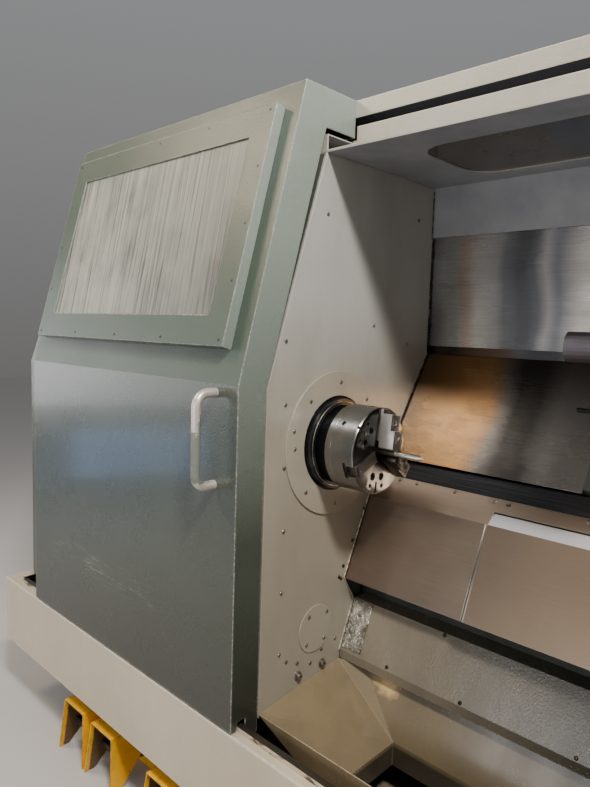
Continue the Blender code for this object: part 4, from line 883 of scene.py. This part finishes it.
for number, (low_x, high_x) in enumerate(((0.02, 0.50), (0.54, 1.02), (1.06, 1.54)), 1):
    hatch("rear_hatch_%d" % number, (low_x, 0.6548, -0.56), (high_x, 0.6570, 0.52), backward,
          panel_enamel, "machine")
vent("rear_vents", (0.78, 0.6570, 0.36), backward, 0.30, 8, panel_enamel, "machine")
hatch("drive_hatch", (-1.2170, -0.12, -0.56), (-1.2148, 0.54, 0.30), leftward, panel_enamel,
      "machine")
vent("drive_vents", (-1.2170, 0.21, -0.30), leftward, 0.40, 9, panel_enamel, "machine")
door_low, door_high = corners("cabinet_door")
door_middle = (door_low.x + door_high.x) / 2
for name, height, lines in (("cabinet_vents", -0.86, 7), ("cabinet_top_vents", 0.42, 5)):
    vent(name, (door_middle, door_high.y, height), backward, 0.46, lines, panel_enamel,
         "rear_door")
for number, height in enumerate((-0.62, 0.18), 1):
    base = block("latch_base", (-0.016, -0.045, -0.0005), (0.016, 0.045, 0.006), 0.003)
    unite(base, block("latch_grip", (-0.009, -0.040, 0.004), (0.009, 0.018, 0.020), 0.004))
    unite(base, turned("latch_lock", [(0.0, 0.012), (0.018, 0.012), (0.021, 0.009)], 24))
    copied("cabinet_latch_%d" % number, base,
           [aimed(at(door_high.x - 0.045, door_high.y, height), backward)], latch_black,
           "rear_door")
hinge_pin = turned("hinge", [(-0.045, 0.0050), (-0.044, 0.0060), (-0.016, 0.0060),
                             (-0.0155, 0.0052), (-0.0145, 0.0052), (-0.014, 0.0060),
                             (0.014, 0.0060), (0.0145, 0.0052), (0.0155, 0.0052),
                             (0.016, 0.0060), (0.044, 0.0060), (0.045, 0.0050)], 20)
copied("cabinet_hinges", hinge_pin,
       [Matrix.Translation(at(door_low.x - 0.0062, door_low.y + 0.002, height))
        for height in (-0.95, -0.25, 0.45)], zinc_screw, "machine")
for number, x in enumerate((-0.85, -0.25), 1):
    eye = turned("eye", [(-0.0005, 0.016), (0.008, 0.016), (0.010, 0.010)], 24)
    deselect()
    bpy.ops.mesh.primitive_torus_add(major_radius=0.014, minor_radius=0.0042, major_segments=28,
                                     minor_segments=12, location=(0.0, 0.0, 0.024),
                                     rotation=(math.pi / 2, 0.0, 0.0))
    ring = bpy.context.object
    bpy.ops.object.transform_apply(location=True, rotation=True, scale=True)
    unite(eye, ring)
    copied("lifting_eye_%d" % number, eye, [Matrix.Translation(at(x, 0.80, 0.600))],
           zinc_screw, "machine")


# Sliding door and right housing: folded steel sheet in glossy grey-green enamel; on the
# door's sloped upper part a flat frame, held by small pins, carries the window.
def green_finish():
    """Glossy grey-green enamel, rubbed through on its corners, scuffed low on the door; painted
    light on the upper side faces, a painted dark reflection low down and a greener painted tone on
    the sloped faces.
    """
    look, place = new_finish("green_enamel")
    tone = between(cloud(place, 1.4, 3.0), 0.3, 0.7)
    cloudy = between(cloud(place, 11.0, 6.0, 0.65), 0.42, 0.72)
    paint = mix(tone, "#3e443a", "#464c42")
    paint = mix(cloudy * 0.08, paint, "#5c6158")
    edge = worn_edges(place, 0.005)
    chips = between(cloud(place, 150.0, 5.0, 0.75), 0.46, 0.56)
    worn = edge * (0.25 + chips * 0.75)
    dots = between(cloud(place, 420.0, 1.0), 0.74, 0.78)
    near_corner = along(place, 0, -0.10, -0.004)
    patchy = between(cloud(place, 8.0, 4.0), 0.50, 0.62)
    specks = dots * patchy * (0.35 + near_corner * 0.65)
    left = along(place, 0, -0.88, -0.80)
    right = along(place, 0, -0.30, -0.46)
    low = along(place, 2, -0.47, -0.44)
    high = along(place, 2, -0.37, -0.41)
    scratch = between(cloud(stretched(place, (5.0, 1.0, 60.0)), 2.4, 6.0, 0.8), 0.54, 0.62)
    scuff = left * right * low * high * scratch
    sunlit = between(facing(place, 0), 0.5, 0.8) * along(place, 2, -0.2, 0.5)
    # The sloped faces get a greener painted tone for how the light falls on them.
    lean = between(facing(place, 2), 0.12, 0.22) * between(facing(place, 2), 0.7, 0.5)
    paint = mix(lean * 0.5, paint, "#46574b")
    # Painted dark reflection on the lower part of the door.
    painted_dark_low = along(place, 2, -0.28, -0.60)
    paint = mix(sunlit * 0.8, paint, "#98a297")
    paint = mix(painted_dark_low * 0.85, paint, "#20231b")
    paint = mix(specks * 0.8, paint, "#c6cabd")
    paint = mix(scuff * 0.55, paint, "#8d8f80")
    paint = mix(worn * 0.85, paint, "#c9cdbf")
    skin = bumped(cloud(place, 240.0, 2.0, 0.55), 0.0007, rounded(place, 0.004))
    return complete(look, paint, 0.27 + cloudy * 0.04 + scuff * 0.2 + lean * 0.13,
                    bumped(cloud(place, 2.2, 1.0), 0.010, skin), coat=0.35 - lean * 0.35)


green_enamel = green_finish()
dress(green_enamel, "right_housing", "door_shell", "window_frame")
hatch("end_hatch", (1.6198, -0.18, -0.54), (1.6220, 0.50, 0.24), rightward, green_enamel,
      "machine")
vent("end_vents", (1.6220, 0.16, -0.36), rightward, 0.34, 6, green_enamel, "machine")
lean_out = Vector((0.0, -0.9663, 0.2574))
up_slope = Vector((0.0, 0.2574, 0.9663))
slope_foot = Vector((0.0, -0.3310, 0.1570))
pin_places = [(x, climb) for x in (-0.940, -0.720, -0.504, -0.290, -0.068)
              for climb in (0.094, 0.636)]
pin_places += [(x, climb) for climb in (0.230, 0.365, 0.500) for x in (-0.940, -0.068)]
copied("frame_pins", turned("pin", [(-0.0004, 0.0030), (0.0008, 0.0030), (0.0014, 0.0018)], 14),
       [aimed(at(x, *(slope_foot + up_slope * climb + lean_out * 0.0281).yz), lean_out)
        for x, climb in pin_places], latch_black, "door")


# Window: a scratched polycarbonate pane, milky with years of coolant and drawn with steep
# streaks, behind the green frame.
def scratched_pane():
    look, place = new_finish("scratched_pane")
    lean = coordinate(place, 0) + coordinate(place, 2) * 0.10
    fine = place.node("ShaderNodeCombineXYZ", None, {0: lean * 120.0, 1: 0.0,
                                                     2: coordinate(place, 2) * 1.3})
    wide = place.node("ShaderNodeCombineXYZ", None, {0: lean * 105.0, 1: 3.0,
                                                     2: coordinate(place, 2) * 2.4})
    streaks = between(cloud(fine, 1.0, 4.0, 0.6), 0.35, 0.65)
    bands = between(cloud(wide, 1.0, 4.0, 0.6), 0.52, 0.64)
    smudge = between(cloud(stretched(place, (1.0, 1.0, 0.7)), 7.0, 5.0, 0.65), 0.48, 0.72)
    fog = between(cloud(place, 3.5, 4.0), 0.35, 0.7)
    body = mix(fog, "#767a73", "#92948a")
    body = mix(streaks * 0.5, body, "#bdbdb0")
    body = mix(smudge * 0.4, body, "#474b48")
    body = mix(bands * (0.6 + smudge * 0.35), body, "#2a2b2a")
    brown = along(place, 0, -0.86, -0.93)
    body = mix(brown * 0.7, body, "#5a4a3c")
    dim = along(place, 0, -0.60, -0.15)
    body = mix(dim * 0.5, body, "#474642")
    return complete(look, body, 0.36 + fog * 0.16, bumped(streaks, 0.0002), specular=0.22)


dress(scratched_pane(), "window_pane")


# Door handle: a bow of round steel with short necks, its cream paint rubbed through to
# bare metal on the outside of the grip.
def handle_finish():
    look, place = new_finish("rubbed_handle")
    upper = along(place, 2, 0.02, 0.10)
    foot = along(place, 2, -0.052, -0.066)
    outward = between(facing(place, 1), 0.1, -0.5)
    blotch = cloud(stretched(place, (1.0, 1.0, 0.6)), 60.0, 5.0, 0.65)
    pits = cloud(place, 420.0, 3.0, 0.7)
    rub = upper * 0.34 + foot * 0.34 + outward * 0.10
    bare = between(blotch * 0.6 + pits * 0.35 + rub, 0.70, 0.75)
    paint = mix(cloud(place, 30.0, 3.0), "#5d6159", "#80837a")
    metal = mix(cloud(place, 240.0, 3.0), "#a9a196", "#eee4da")
    return complete(look, mix(bare, paint, metal), 0.30 + pits * 0.12, bumped(1.0 - bare, 0.0002),
                    metallic=bare * 0.55)


grip_low, grip_high = corners("door_handle")
grip_radius = (grip_high.x - grip_low.x) / 2
grip_x = (grip_high.x + grip_low.x) / 2
grip_bend = 0.030
bend_y = grip_low.y + grip_radius + grip_bend
grip_path = [(grip_x, grip_high.y, grip_high.z - grip_radius)]
for bend_z, first_turn in ((grip_high.z - grip_radius - grip_bend, 0.5),
                           (grip_low.z + grip_radius + grip_bend, 1.0)):
    for step in range(11):
        bend_turn = math.pi * (first_turn + step / 20)
        grip_path.append((grip_x, bend_y + grip_bend * math.cos(bend_turn),
                          bend_z + grip_bend * math.sin(bend_turn)))
grip_path.append((grip_x, grip_high.y, grip_low.z + grip_radius))
grip = swept("grip", grip_radius - 0.0002, 6, grip_path)
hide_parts("door_handle")
keep(grip, handle_finish(), "door")


# Spindle nose and chuck: hardened and ground steel; the face carries turning rings, bolt
# holes and three tee slots for the jaws.
def ground_steel(name, dark, light, gloss=0.22, smear=0.35, metallic=1.0, painted_shade_front=0.0):
    """Ground steel with fine rings about the spindle and smears of oil. painted_shade_front is how
    strongly the faces that look along the spindle, above the chuck's lowest part, are painted dark
    as painted shade."""
    look, place = new_finish(name, metallic=metallic)
    centred = place.node("ShaderNodeVectorMath", {"operation": "SUBTRACT"},
                         {0: place, 1: tuple(datum)})
    across = centred.node("ShaderNodeVectorMath", {"operation": "MULTIPLY"},
                          {0: centred, 1: (0.0, 1.0, 1.0)})
    radius = across.node("ShaderNodeVectorMath", {"operation": "LENGTH"}, {0: across}, 1)
    ring = place.node("ShaderNodeCombineXYZ", None,
                      {0: radius * 900.0, 1: coordinate(centred, 0) * 900.0, 2: 0.0})
    turning = cloud(ring, 1.0, 3.0, 0.6)
    blur = between(cloud(place, 9.0, 3.0, 0.5), 0.30, 0.80)
    metal = mix(blur * smear + between(turning, 0.3, 0.7) * 0.2, light, dark)
    # Painted shade on the faces that look along the spindle.
    if painted_shade_front:
        front = between(facing(place, 0), 0.8, 0.95) * along(place, 2, -0.055, -0.030)
        metal = mix(front * painted_shade_front, metal, "#1b1916")
    metal = mix(worn_edges(place, 0.0012) * 0.5, metal, "#dcd8d0")
    return complete(look, metal, gloss + blur * 0.08,
                    bumped(turning, 0.00004, rounded(place, 0.0008)))


chuck_steel = ground_steel("chuck_steel", "#4c4d4e", "#a6a5a3", smear=0.5, painted_shade_front=0.7)
bright_ground = ground_steel("bright_ground", "#8d8982", "#d6d1c9", gloss=0.2, smear=0.2)
black_steel = ground_steel("black_steel", "#0c0c0e", "#232326", gloss=0.42)
dark_jaw = ground_steel("dark_jaw", "#1d1b1a", "#59534d", gloss=0.3, smear=0.5)
dress(bright_ground, "tailstock_quill", "z_ball_screw", "chuck_cylinder")
dress(black_steel, "spindle", "spindle_pulley", "motor_pulley", "door_roller_left",
      "door_roller_right", "drill_holder")
chuck_low, chuck_high = corners("chuck_body")
chuck_radius = (chuck_high.z - chuck_low.z) / 2
chuck_back, chuck_face = chuck_low.x, chuck_high.x
along_spindle = (Matrix.Translation(datum)
                 @ Matrix(((0, 0, 1, 0), (1, 0, 0, 0), (0, 1, 0, 0), (0, 0, 0, 1))))


def spun(degrees, radius=0.0, height=0.0):
    """Moved out along X and up, then turned about Z."""
    return (Matrix.Rotation(math.radians(degrees), 4, "Z")
            @ Matrix.Translation((radius, 0.0, height)))


def around(degrees, radius=0.0, height=0.0):
    """Turned about the spindle from a place on its +Y side, at a radius and a height."""
    return along_spindle @ spun(degrees, radius, height)


def bored(piece, tool, seat):
    """Cut a tool made about Z out of a piece, at a seat."""
    tool.data.transform(seat)
    cut_away(piece, tool)


mark_z, proud_z = chuck_back + 0.0180, chuck_face + 0.01
chuck = turned("chuck", [(chuck_back, chuck_radius - 0.0020), (chuck_back + 0.0020, chuck_radius),
                         (mark_z, chuck_radius), (mark_z, chuck_radius - 0.0006),
                         (mark_z + 0.0010, chuck_radius - 0.0006),
                         (mark_z + 0.0010, chuck_radius), (chuck_face - 0.0030, chuck_radius),
                         (chuck_face - 0.0008, chuck_radius - 0.0016),
                         (chuck_face, chuck_radius - 0.0034)], 96)
cut_away(chuck, rod("bore", 0.026, chuck_face - 0.045, proud_z, 48))
jaw_angles = (82.5, 202.5, 322.5)
between_jaws, hole_spreads, hole_radius = 60.0, (-15.5, 15.5), 0.064
slot_floor = chuck_face - 0.0220
for angle in jaw_angles:
    bored(chuck, block("slot", (0.018, -0.0140, slot_floor), (0.120, 0.0140, proud_z)),
          spun(angle))
    bored(chuck, block("tee", (0.018, -0.0210, chuck_face - 0.0320),
                       (0.120, 0.0210, slot_floor)), spun(angle))
    for spread in hole_spreads:
        for radius, bore, depth in ((hole_radius, 0.0098, 0.016), (0.087, 0.0052, 0.010)):
            bored(chuck, rod("hole", bore, chuck_face - depth, proud_z, 20),
                  spun(angle + between_jaws + spread, radius))
    bored(chuck, block("groove", (0.074, -0.0035, chuck_face - 0.007),
                       (0.115, 0.0035, proud_z)), spun(angle + between_jaws))
grub_angle, grub_height, facing_out = 139.5, 0.091, Matrix.Rotation(math.pi / 2, 4, "Y")
bored(chuck, rod("grub_hole", 0.0062, 0.0, 0.03, 20),
      spun(grub_angle, chuck_radius - 0.012, grub_height) @ facing_out)
chuck.data.transform(along_spindle)
pick(chuck)
bpy.ops.object.shade_smooth_by_angle(angle=math.radians(30.0))
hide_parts("chuck_body")
keep(chuck, chuck_steel, "spindle_group")


def cap_screw(radius, height):
    """A cap screw with a hexagon socket, standing on Z = 0."""
    screw = turned("cap_screw", [(0.0, radius), (height * 0.88, radius),
                                 (height, radius * 0.88)], 20)
    cut_away(screw, rod("socket", radius * 0.5, height * 0.5, height * 1.5, 6))
    return screw


copied("chuck_screws", cap_screw(0.0082, 0.0070),
       [around(angle + between_jaws + spread, hole_radius, chuck_face - 0.0158)
        for angle in jaw_angles for spread in hole_spreads],
       dark_jaw, "spindle_group")
copied("chuck_grub", cap_screw(0.0054, 0.006),
       [around(grub_angle, chuck_radius - 0.0105, grub_height) @ facing_out],
       dark_jaw, "spindle_group")


# Jaws: hardened masters in the tee slots; the first and third carry stepped top jaws held
# by cap screws, and the second shows its bare serrations.
master_top, jaw_top, step_top = 0.1460, 0.1860, 0.1740
jaw_bolts = ((0.0380, jaw_top), (0.0720, step_top))


def master_jaw(name):
    jaw = block(name, (0.024, -0.0137, 0.1177), (0.101, 0.0137, master_top))
    unite(jaw, block("tee", (0.024, -0.0207, 0.1083), (0.101, 0.0207, 0.1180)))
    return jaw


def top_jaw(name):
    """A block with a tip cut to a wedge, stepped down at its outer end and counterbored."""
    tip = 0.0073
    jaw = block(name, (tip, -0.0170, 0.1455), (0.0900, 0.0170, jaw_top))
    sliced(jaw, [((tip, side * 0.01204, 0.0), (-math.sqrt(0.75), side * 0.5, 0.0))
                 for side in (-1, 1)])
    cut_away(jaw, block("step", (0.0520, -0.03, step_top), (0.1200, 0.03, 0.2000)))
    for radius, height in jaw_bolts:
        bored(jaw, rod("counterbore", 0.0066, height - 0.009, height + 0.01), spun(0.0, radius))
    return jaw


worn_jaw = ground_steel("worn_jaw", "#2b2a29", "#6f6b66", gloss=0.3, smear=0.6)
pale_jaw = ground_steel("jaw_face", "#8f8983", "#c2bab3", gloss=0.34, metallic=0.7,
                        painted_shade_front=0.85)
# The third jaw is shaped as the first but takes the dark screw steel, as painted shade.
for number, (angle, look) in enumerate(zip(jaw_angles, (pale_jaw, worn_jaw, dark_jaw)), 1):
    body = "chuck_jaw_%d" % number
    jaw = master_jaw("jaw_piece_%d" % number)
    if number != 2:
        unite(jaw, top_jaw("top_jaw"))
    soften(jaw, 0.0006)
    jaw.data.transform(around(angle))
    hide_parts("jaw_%d" % number)
    keep(jaw, look, body)
    if number == 2:
        ridge = block("ridge", (-0.0010, -0.0130, -0.0002), (0.0010, 0.0130, 0.0016), 0.0004)
        copied("serrations", ridge, [around(angle, 0.0285 + step * 0.0033, master_top)
                                     for step in range(21)],
               worn_jaw, body)
        copied("master_screw", cap_screw(0.0048, 0.0030), [around(angle, 0.0930, master_top)],
               dark_jaw, body)
    else:
        copied("jaw_screws_%d" % number, cap_screw(0.0058, 0.0070),
               [around(angle, radius, height - 0.0085) for radius, height in jaw_bolts],
               dark_jaw, body)


def bar_finish():
    """The work bar: dull scale in the chuck, turned bright near its pointed end."""
    look, place = new_finish("work_bar_steel", metallic=1.0)
    fresh = along(place, 0, 0.184, 0.192)
    rings = cloud(stretched(place, (900.0, 1.0, 1.0)), 1.0, 2.0)
    grain = cloud(place, 90.0, 4.0)
    dull = mix(grain, "#4b443d", "#8a8177")
    bright = mix(rings, "#b9b5ae", "#f0ede6")
    return complete(look, mix(fresh, dull, bright), 0.42 - fresh * 0.18, bumped(rings, 0.0001))


bar_low, bar_high = corners("work_bar")
bar_radius = (bar_high.z - bar_low.z) / 2
bar = turned("turned_bar", [(bar_low.x, bar_radius), (0.186, bar_radius),
                            (0.187, bar_radius - 0.0008),
                            (bar_high.x - 0.014, bar_radius - 0.0008),
                            (bar_high.x - 0.001, 0.0012), (bar_high.x, 0.0004)], 32)
bar.data.transform(along_spindle)
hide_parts("work_bar")
keep(bar, bar_finish(), "spindle_group")


# Carriage and covers: stainless sheets fixed to the saddle that travel with it, brushed
# upright at the back and lengthwise on the slant.
# Painted reflections on the covers: pale, warm and dark bands laid across X.
upright_painted_reflections = (("#c4c2bd", 0.8, -0.02, 0.05, 0.15, 0.24),
                 ("#c8875a", 0.30, 0.09, 0.11, 0.12, 0.16),
                 ("#2b2c2f", 0.7, 0.22, 0.28, 0.30, 0.35),
                 ("#a9a49d", 0.35, 0.32, 0.342, 0.346, 0.37),
                 ("#a9a29a", 0.75, 0.38, 0.44, 0.9, 1.0))
slant_painted_reflections = (("#9c7850", 0.95, -0.06, 0.03, 0.21, 0.28),
               ("#cf9a62", 0.85, 0.04, 0.15, 0.22, 0.27),
               ("#24221f", 0.85, 0.27, 0.31, 0.37, 0.43))
dress(brushed("upright_cover_steel", "#525255", "#7d7d80", 0, 0.24, painted_reflections=upright_painted_reflections,
              smear=0.35), "upper_cover_left")
dress(brushed("slant_cover_steel", "#77706a", "#9a928a", 0, 0.20, painted_reflections=slant_painted_reflections,
              smear=0.35, fold=0.2215), "slant_cover_left")
dress(brushed("right_cover_steel", "#6f675f", "#a39c94", 0, 0.28), "cover_right")


# Turret: a ground octagonal disc with eight clamped stations on a painted housing; a boring
# bar and a drill stick out of it, and a coolant jet sits between each two stations.
dress(casting_paint("turret_paint", "#3a3f42", "#16181a"), "turret_housing")
dress(ground_steel("turret_steel", "#5a5753", "#b5b0a8", gloss=0.28), "turret_disc")
dress(ground_steel("bar_steel", "#353336", "#77727a", gloss=0.34, smear=0.5), "boring_bar")
disc_low, disc_high = corners("turret_disc")
disc_centre = (disc_low + disc_high) / 2
hub = turned("turret_hub", [(-0.0005, 0.064), (0.005, 0.064), (0.007, 0.060), (0.007, 0.048),
                            (0.016, 0.048), (0.019, 0.045)], 48)
copied("turret_hub", hub, [aimed(at(disc_low.x, disc_centre.y, disc_centre.z), leftward)],
       black_steel, "turret")


def on_disc(degrees, radius, height=0.0):
    """A seat on the disc's face, with Z out of it and X away from its centre."""
    c, s = math.cos(math.radians(degrees)), math.sin(math.radians(degrees))
    centre = at(disc_low.x - height, disc_centre.y + radius * c, disc_centre.z + radius * s)
    return (Matrix.Translation(centre)
            @ Matrix(((0, 0, -1, 0), (c, s, 0, 0), (s, -c, 0, 0), (0, 0, 0, 1))))


half_step = 22.5
stations = [13.4 + 2 * half_step * step for step in range(8)]
clamp_radius, clamp_height = 0.118, 0.012
clamp = block("clamp", (-0.020, -0.015, -0.0005), (0.020, 0.015, clamp_height), 0.0022)
copied("tool_clamps", clamp, [on_disc(angle, clamp_radius) for angle in stations],
       bright_ground, "turret")
copied("clamp_screws", cap_screw(0.0075, 0.0070),
       [on_disc(angle, clamp_radius + shift, clamp_height)
        for angle in stations for shift in (-0.010, 0.010)],
       black_steel, "turret")
copied("hub_screws", cap_screw(0.0045, 0.0042),
       [on_disc(angle + half_step, 0.056, 0.007) for angle in stations],
       bright_ground, "turret")
copied("coolant_jets", turned("jet", [(-0.0005, 0.0070), (0.0050, 0.0070), (0.0065, 0.0050),
                                      (0.0110, 0.0038), (0.0120, 0.0022)], 20),
       [on_disc(angle + half_step, 0.135) for angle in stations],
       zinc_screw, "turret")


# Tailstock: a painted casting with a ground quill, which slides through a blacked ring that
# six small screws hold on the casting's face.
dress(iron_paint, "tailstock_body")
ring_seat, ring_bolts = corners("tailstock_body")[0].x, 0.0545
quill_ring = turned("quill_ring", [(-0.0005, 0.060), (0.006, 0.060), (0.008, 0.058),
                                   (0.008, 0.051), (0.014, 0.050), (0.016, 0.048)], 48)
cut_away(quill_ring, rod("bore", 0.0406, -0.01, 0.03, 48))
copied("quill_ring", quill_ring, [aimed(at(ring_seat, 0.0, 0.0), leftward)],
       dark_jaw, "tailstock")
copied("quill_ring_screws", cap_screw(0.0032, 0.0030),
       [aimed(at(ring_seat - 0.008, ring_bolts * math.cos(math.pi * step / 3),
                 ring_bolts * math.sin(math.pi * step / 3)), leftward)
        for step in range(6)], bright_ground, "tailstock")


# Motor and control box: a cast motor behind the headstock; on the right housing a dark sheet
# box with a framed screen, plain keys, a feed knob in its dial and a stop button.
dress(casting_paint("motor_paint", "#34383c", "#14161a"), "spindle_motor")
dress(enamel("panel_enamel", "#2f3336", "#1a1c1e", "#3b3f42", gloss=0.35, wear=0.4,
             edge_colour="#7a7d7e", grime=0.2), "control_box")
dress(enamel("stop_red", "#a3140f", "#5f0b08", "#b52019", gloss=0.25, wear=0.1,
             edge_colour="#d06a60", grime=0.2), "emergency_button")
dress(rubber("knob_rubber", "#17181a", 0.4), "feed_knob")
panel_face = corners("control_box")[0].y


def on_panel(x, z, spin=0.0):
    """A seat on the control box's face, with Z out of it."""
    return aimed(at(x, panel_face, z), forward, spin)


bezel = block("screen_bezel", (1.152, panel_face - 0.0035, -0.055),
              (1.488, panel_face + 0.0005, 0.112), 0.0015)
cut_away(bezel, block("window", (1.182, panel_face - 0.01, -0.030),
                      (1.458, panel_face + 0.01, 0.090)))
bezel.data.transform(Matrix.Translation(datum))
keep(bezel, rubber("bezel_plastic", "#1a1c1f", 0.35), "machine")


def screen_finish():
    """The dead screen: grey glass with dust wiped into arcs."""
    look, place = new_finish("screen_glass", coat=0.6)
    dust = between(cloud(stretched(place, (1.0, 1.0, 3.0)), 14.0, 5.0, 0.6), 0.45, 0.75)
    return complete(look, mix(dust * 0.4, "#15191c", "#4f5453"), 0.10 + dust * 0.3)


screen = block("screen", (1.178, panel_face - 0.0012, -0.034), (1.462, panel_face, 0.094), 0.0004)
screen.data.transform(Matrix.Translation(datum))
keep(screen, screen_finish(), "machine")
pale_key = rubber("pale_key", "#8f8d84", 0.45)
dark_key = rubber("dark_key", "#2a2c2f", 0.45)
for name, (half_x, half_z), (left_x, top_z), pitch_x, columns, lines, look in (
        ("soft_keys", (0.0160, 0.0060), (1.200, -0.074), 0.0400, 7, 1, pale_key),
        ("letter_keys", (0.0085, 0.0075), (1.168, -0.102), 0.0225, 8, 4, dark_key),
        ("mode_keys", (0.0085, 0.0075), (1.372, -0.102), 0.0225, 5, 3, pale_key)):
    key = block("key", (-half_x, -half_z, -0.0005), (half_x, half_z, 0.0030), 0.0012)
    copied(name, key, [on_panel(left_x + column * pitch_x, top_z - line * 0.0200)
                       for column in range(columns) for line in range(lines)],
           look, "machine")
copied("push_buttons", turned("push", [(-0.0005, 0.0095), (0.0020, 0.0095), (0.0025, 0.0068),
                                       (0.0065, 0.0068), (0.0075, 0.0056)], 24),
       [on_panel(1.165 + step * 0.0300, -0.262) for step in range(4)], dark_key, "machine")
knob_x, stop_x, controls_z = 1.280, 1.440, -0.220
copied("knob_dial", turned("dial", [(-0.0004, 0.0330), (0.0010, 0.0330), (0.0014, 0.0322)], 48),
       [on_panel(knob_x, controls_z)], pale_key, "machine")
copied("dial_marks", block("mark", (0.0262, -0.0006, 0.0012), (0.0305, 0.0006, 0.0018)),
       [on_panel(knob_x, controls_z) @ spun(-30 + step * 24) for step in range(11)],
       dark_key, "machine")
stop_collar = turned("collar", [(-0.0004, 0.0300), (0.0030, 0.0300), (0.0042, 0.0285),
                                (0.0042, 0.0225)], 48)
copied("stop_collar", stop_collar, [on_panel(stop_x, controls_z)],
       enamel("collar_yellow", "#d9a514", "#8a6508", "#e4b424", wear=0.1, grime=0.2),
       "machine")
copied("panel_screws", button_screw(0.0048, 0.0028),
       [on_panel(x, z, x * 50) for z in (0.118, -0.286) for x in (1.134, 1.506)],
       zinc_screw, "machine")


# Pedals: ribbed black plates under hoods folded from yellow-painted steel, chipped to dark
# metal along their edges.
def hood_finish(name, centre_x, front_y):
    """Yellow paint over steel, chipped on its edges, with painted shade on the faces that look in
    and on the undersides.
    """
    look, place = new_finish(name, coat=0.15)
    outward = (coordinate(place, 0) - (datum.x + centre_x)) * facing(place, 0)
    inside = between(outward, -0.004, -0.012) * along(place, 1, front_y + 0.010, front_y + 0.016)
    under = between(facing(place, 2), -0.4, -0.7)
    # Painted shade on the inner faces and undersides, in the dark colour of bare metal.
    painted_shade = inside.sum("MAXIMUM", inside, under)
    edge = worn_edges(place, 0.004)
    chips = between(cloud(place, 75.0, 6.0, 0.7), 0.55, 0.60)
    rub = between(cloud(place, 45.0, 5.0, 0.7) + edge * 0.16, 0.62, 0.66)
    soil = between(cloud(place, 14.0, 5.0, 0.6), 0.40, 0.75)
    paint = mix(soil * 0.55, "#e3a606", "#a87404")
    bare = rub + chips * 0.35 + painted_shade
    return complete(look, mix(between(bare, 0.3, 0.8), paint, "#5a4222"),
                    0.34 + soil * 0.2 + chips * 0.2,
                    bumped(1.0 - between(bare, 0.3, 0.8), 0.0003, rounded(place, 0.003)))


pedal_rubber = rubber("pedal_rubber", "#1b1b1d", 0.5)
first_rib, rib_pitch, rib_seat = 0.026, 0.0094, 0.0070
for number in (1, 2, 3):
    hood_low, hood_high = corners("pedal_guard_%d" % number)
    dress(hood_finish("chipped_yellow_%d" % number, (hood_low.x + hood_high.x) / 2, hood_low.y),
          "pedal_guard_%d" % number)
    dress(pedal_rubber, "pedal_%d" % number)
    tread_low, tread_high = corners("pedal_%d" % number)
    hinge = Vector(((tread_low.x + tread_high.x) / 2, tread_high.y - 0.009, tread_low.z + 0.009))
    half = (tread_high.x - tread_low.x) / 2 - 0.014
    rise, tread = Vector((0.0, -0.9781, 0.2079)), Vector((0.0, 0.2079, 0.9781))
    rib = block("rib", (-half, -0.0016, -0.0004), (half, 0.0016, 0.0020), 0.0006)
    copied("tread_ribs_%d" % number, rib,
           [aimed(at(*(hinge + rise * (first_rib + step * rib_pitch) + tread * rib_seat)), tread)
            for step in range(9)], pedal_rubber, "foot_pedal_%d" % number)
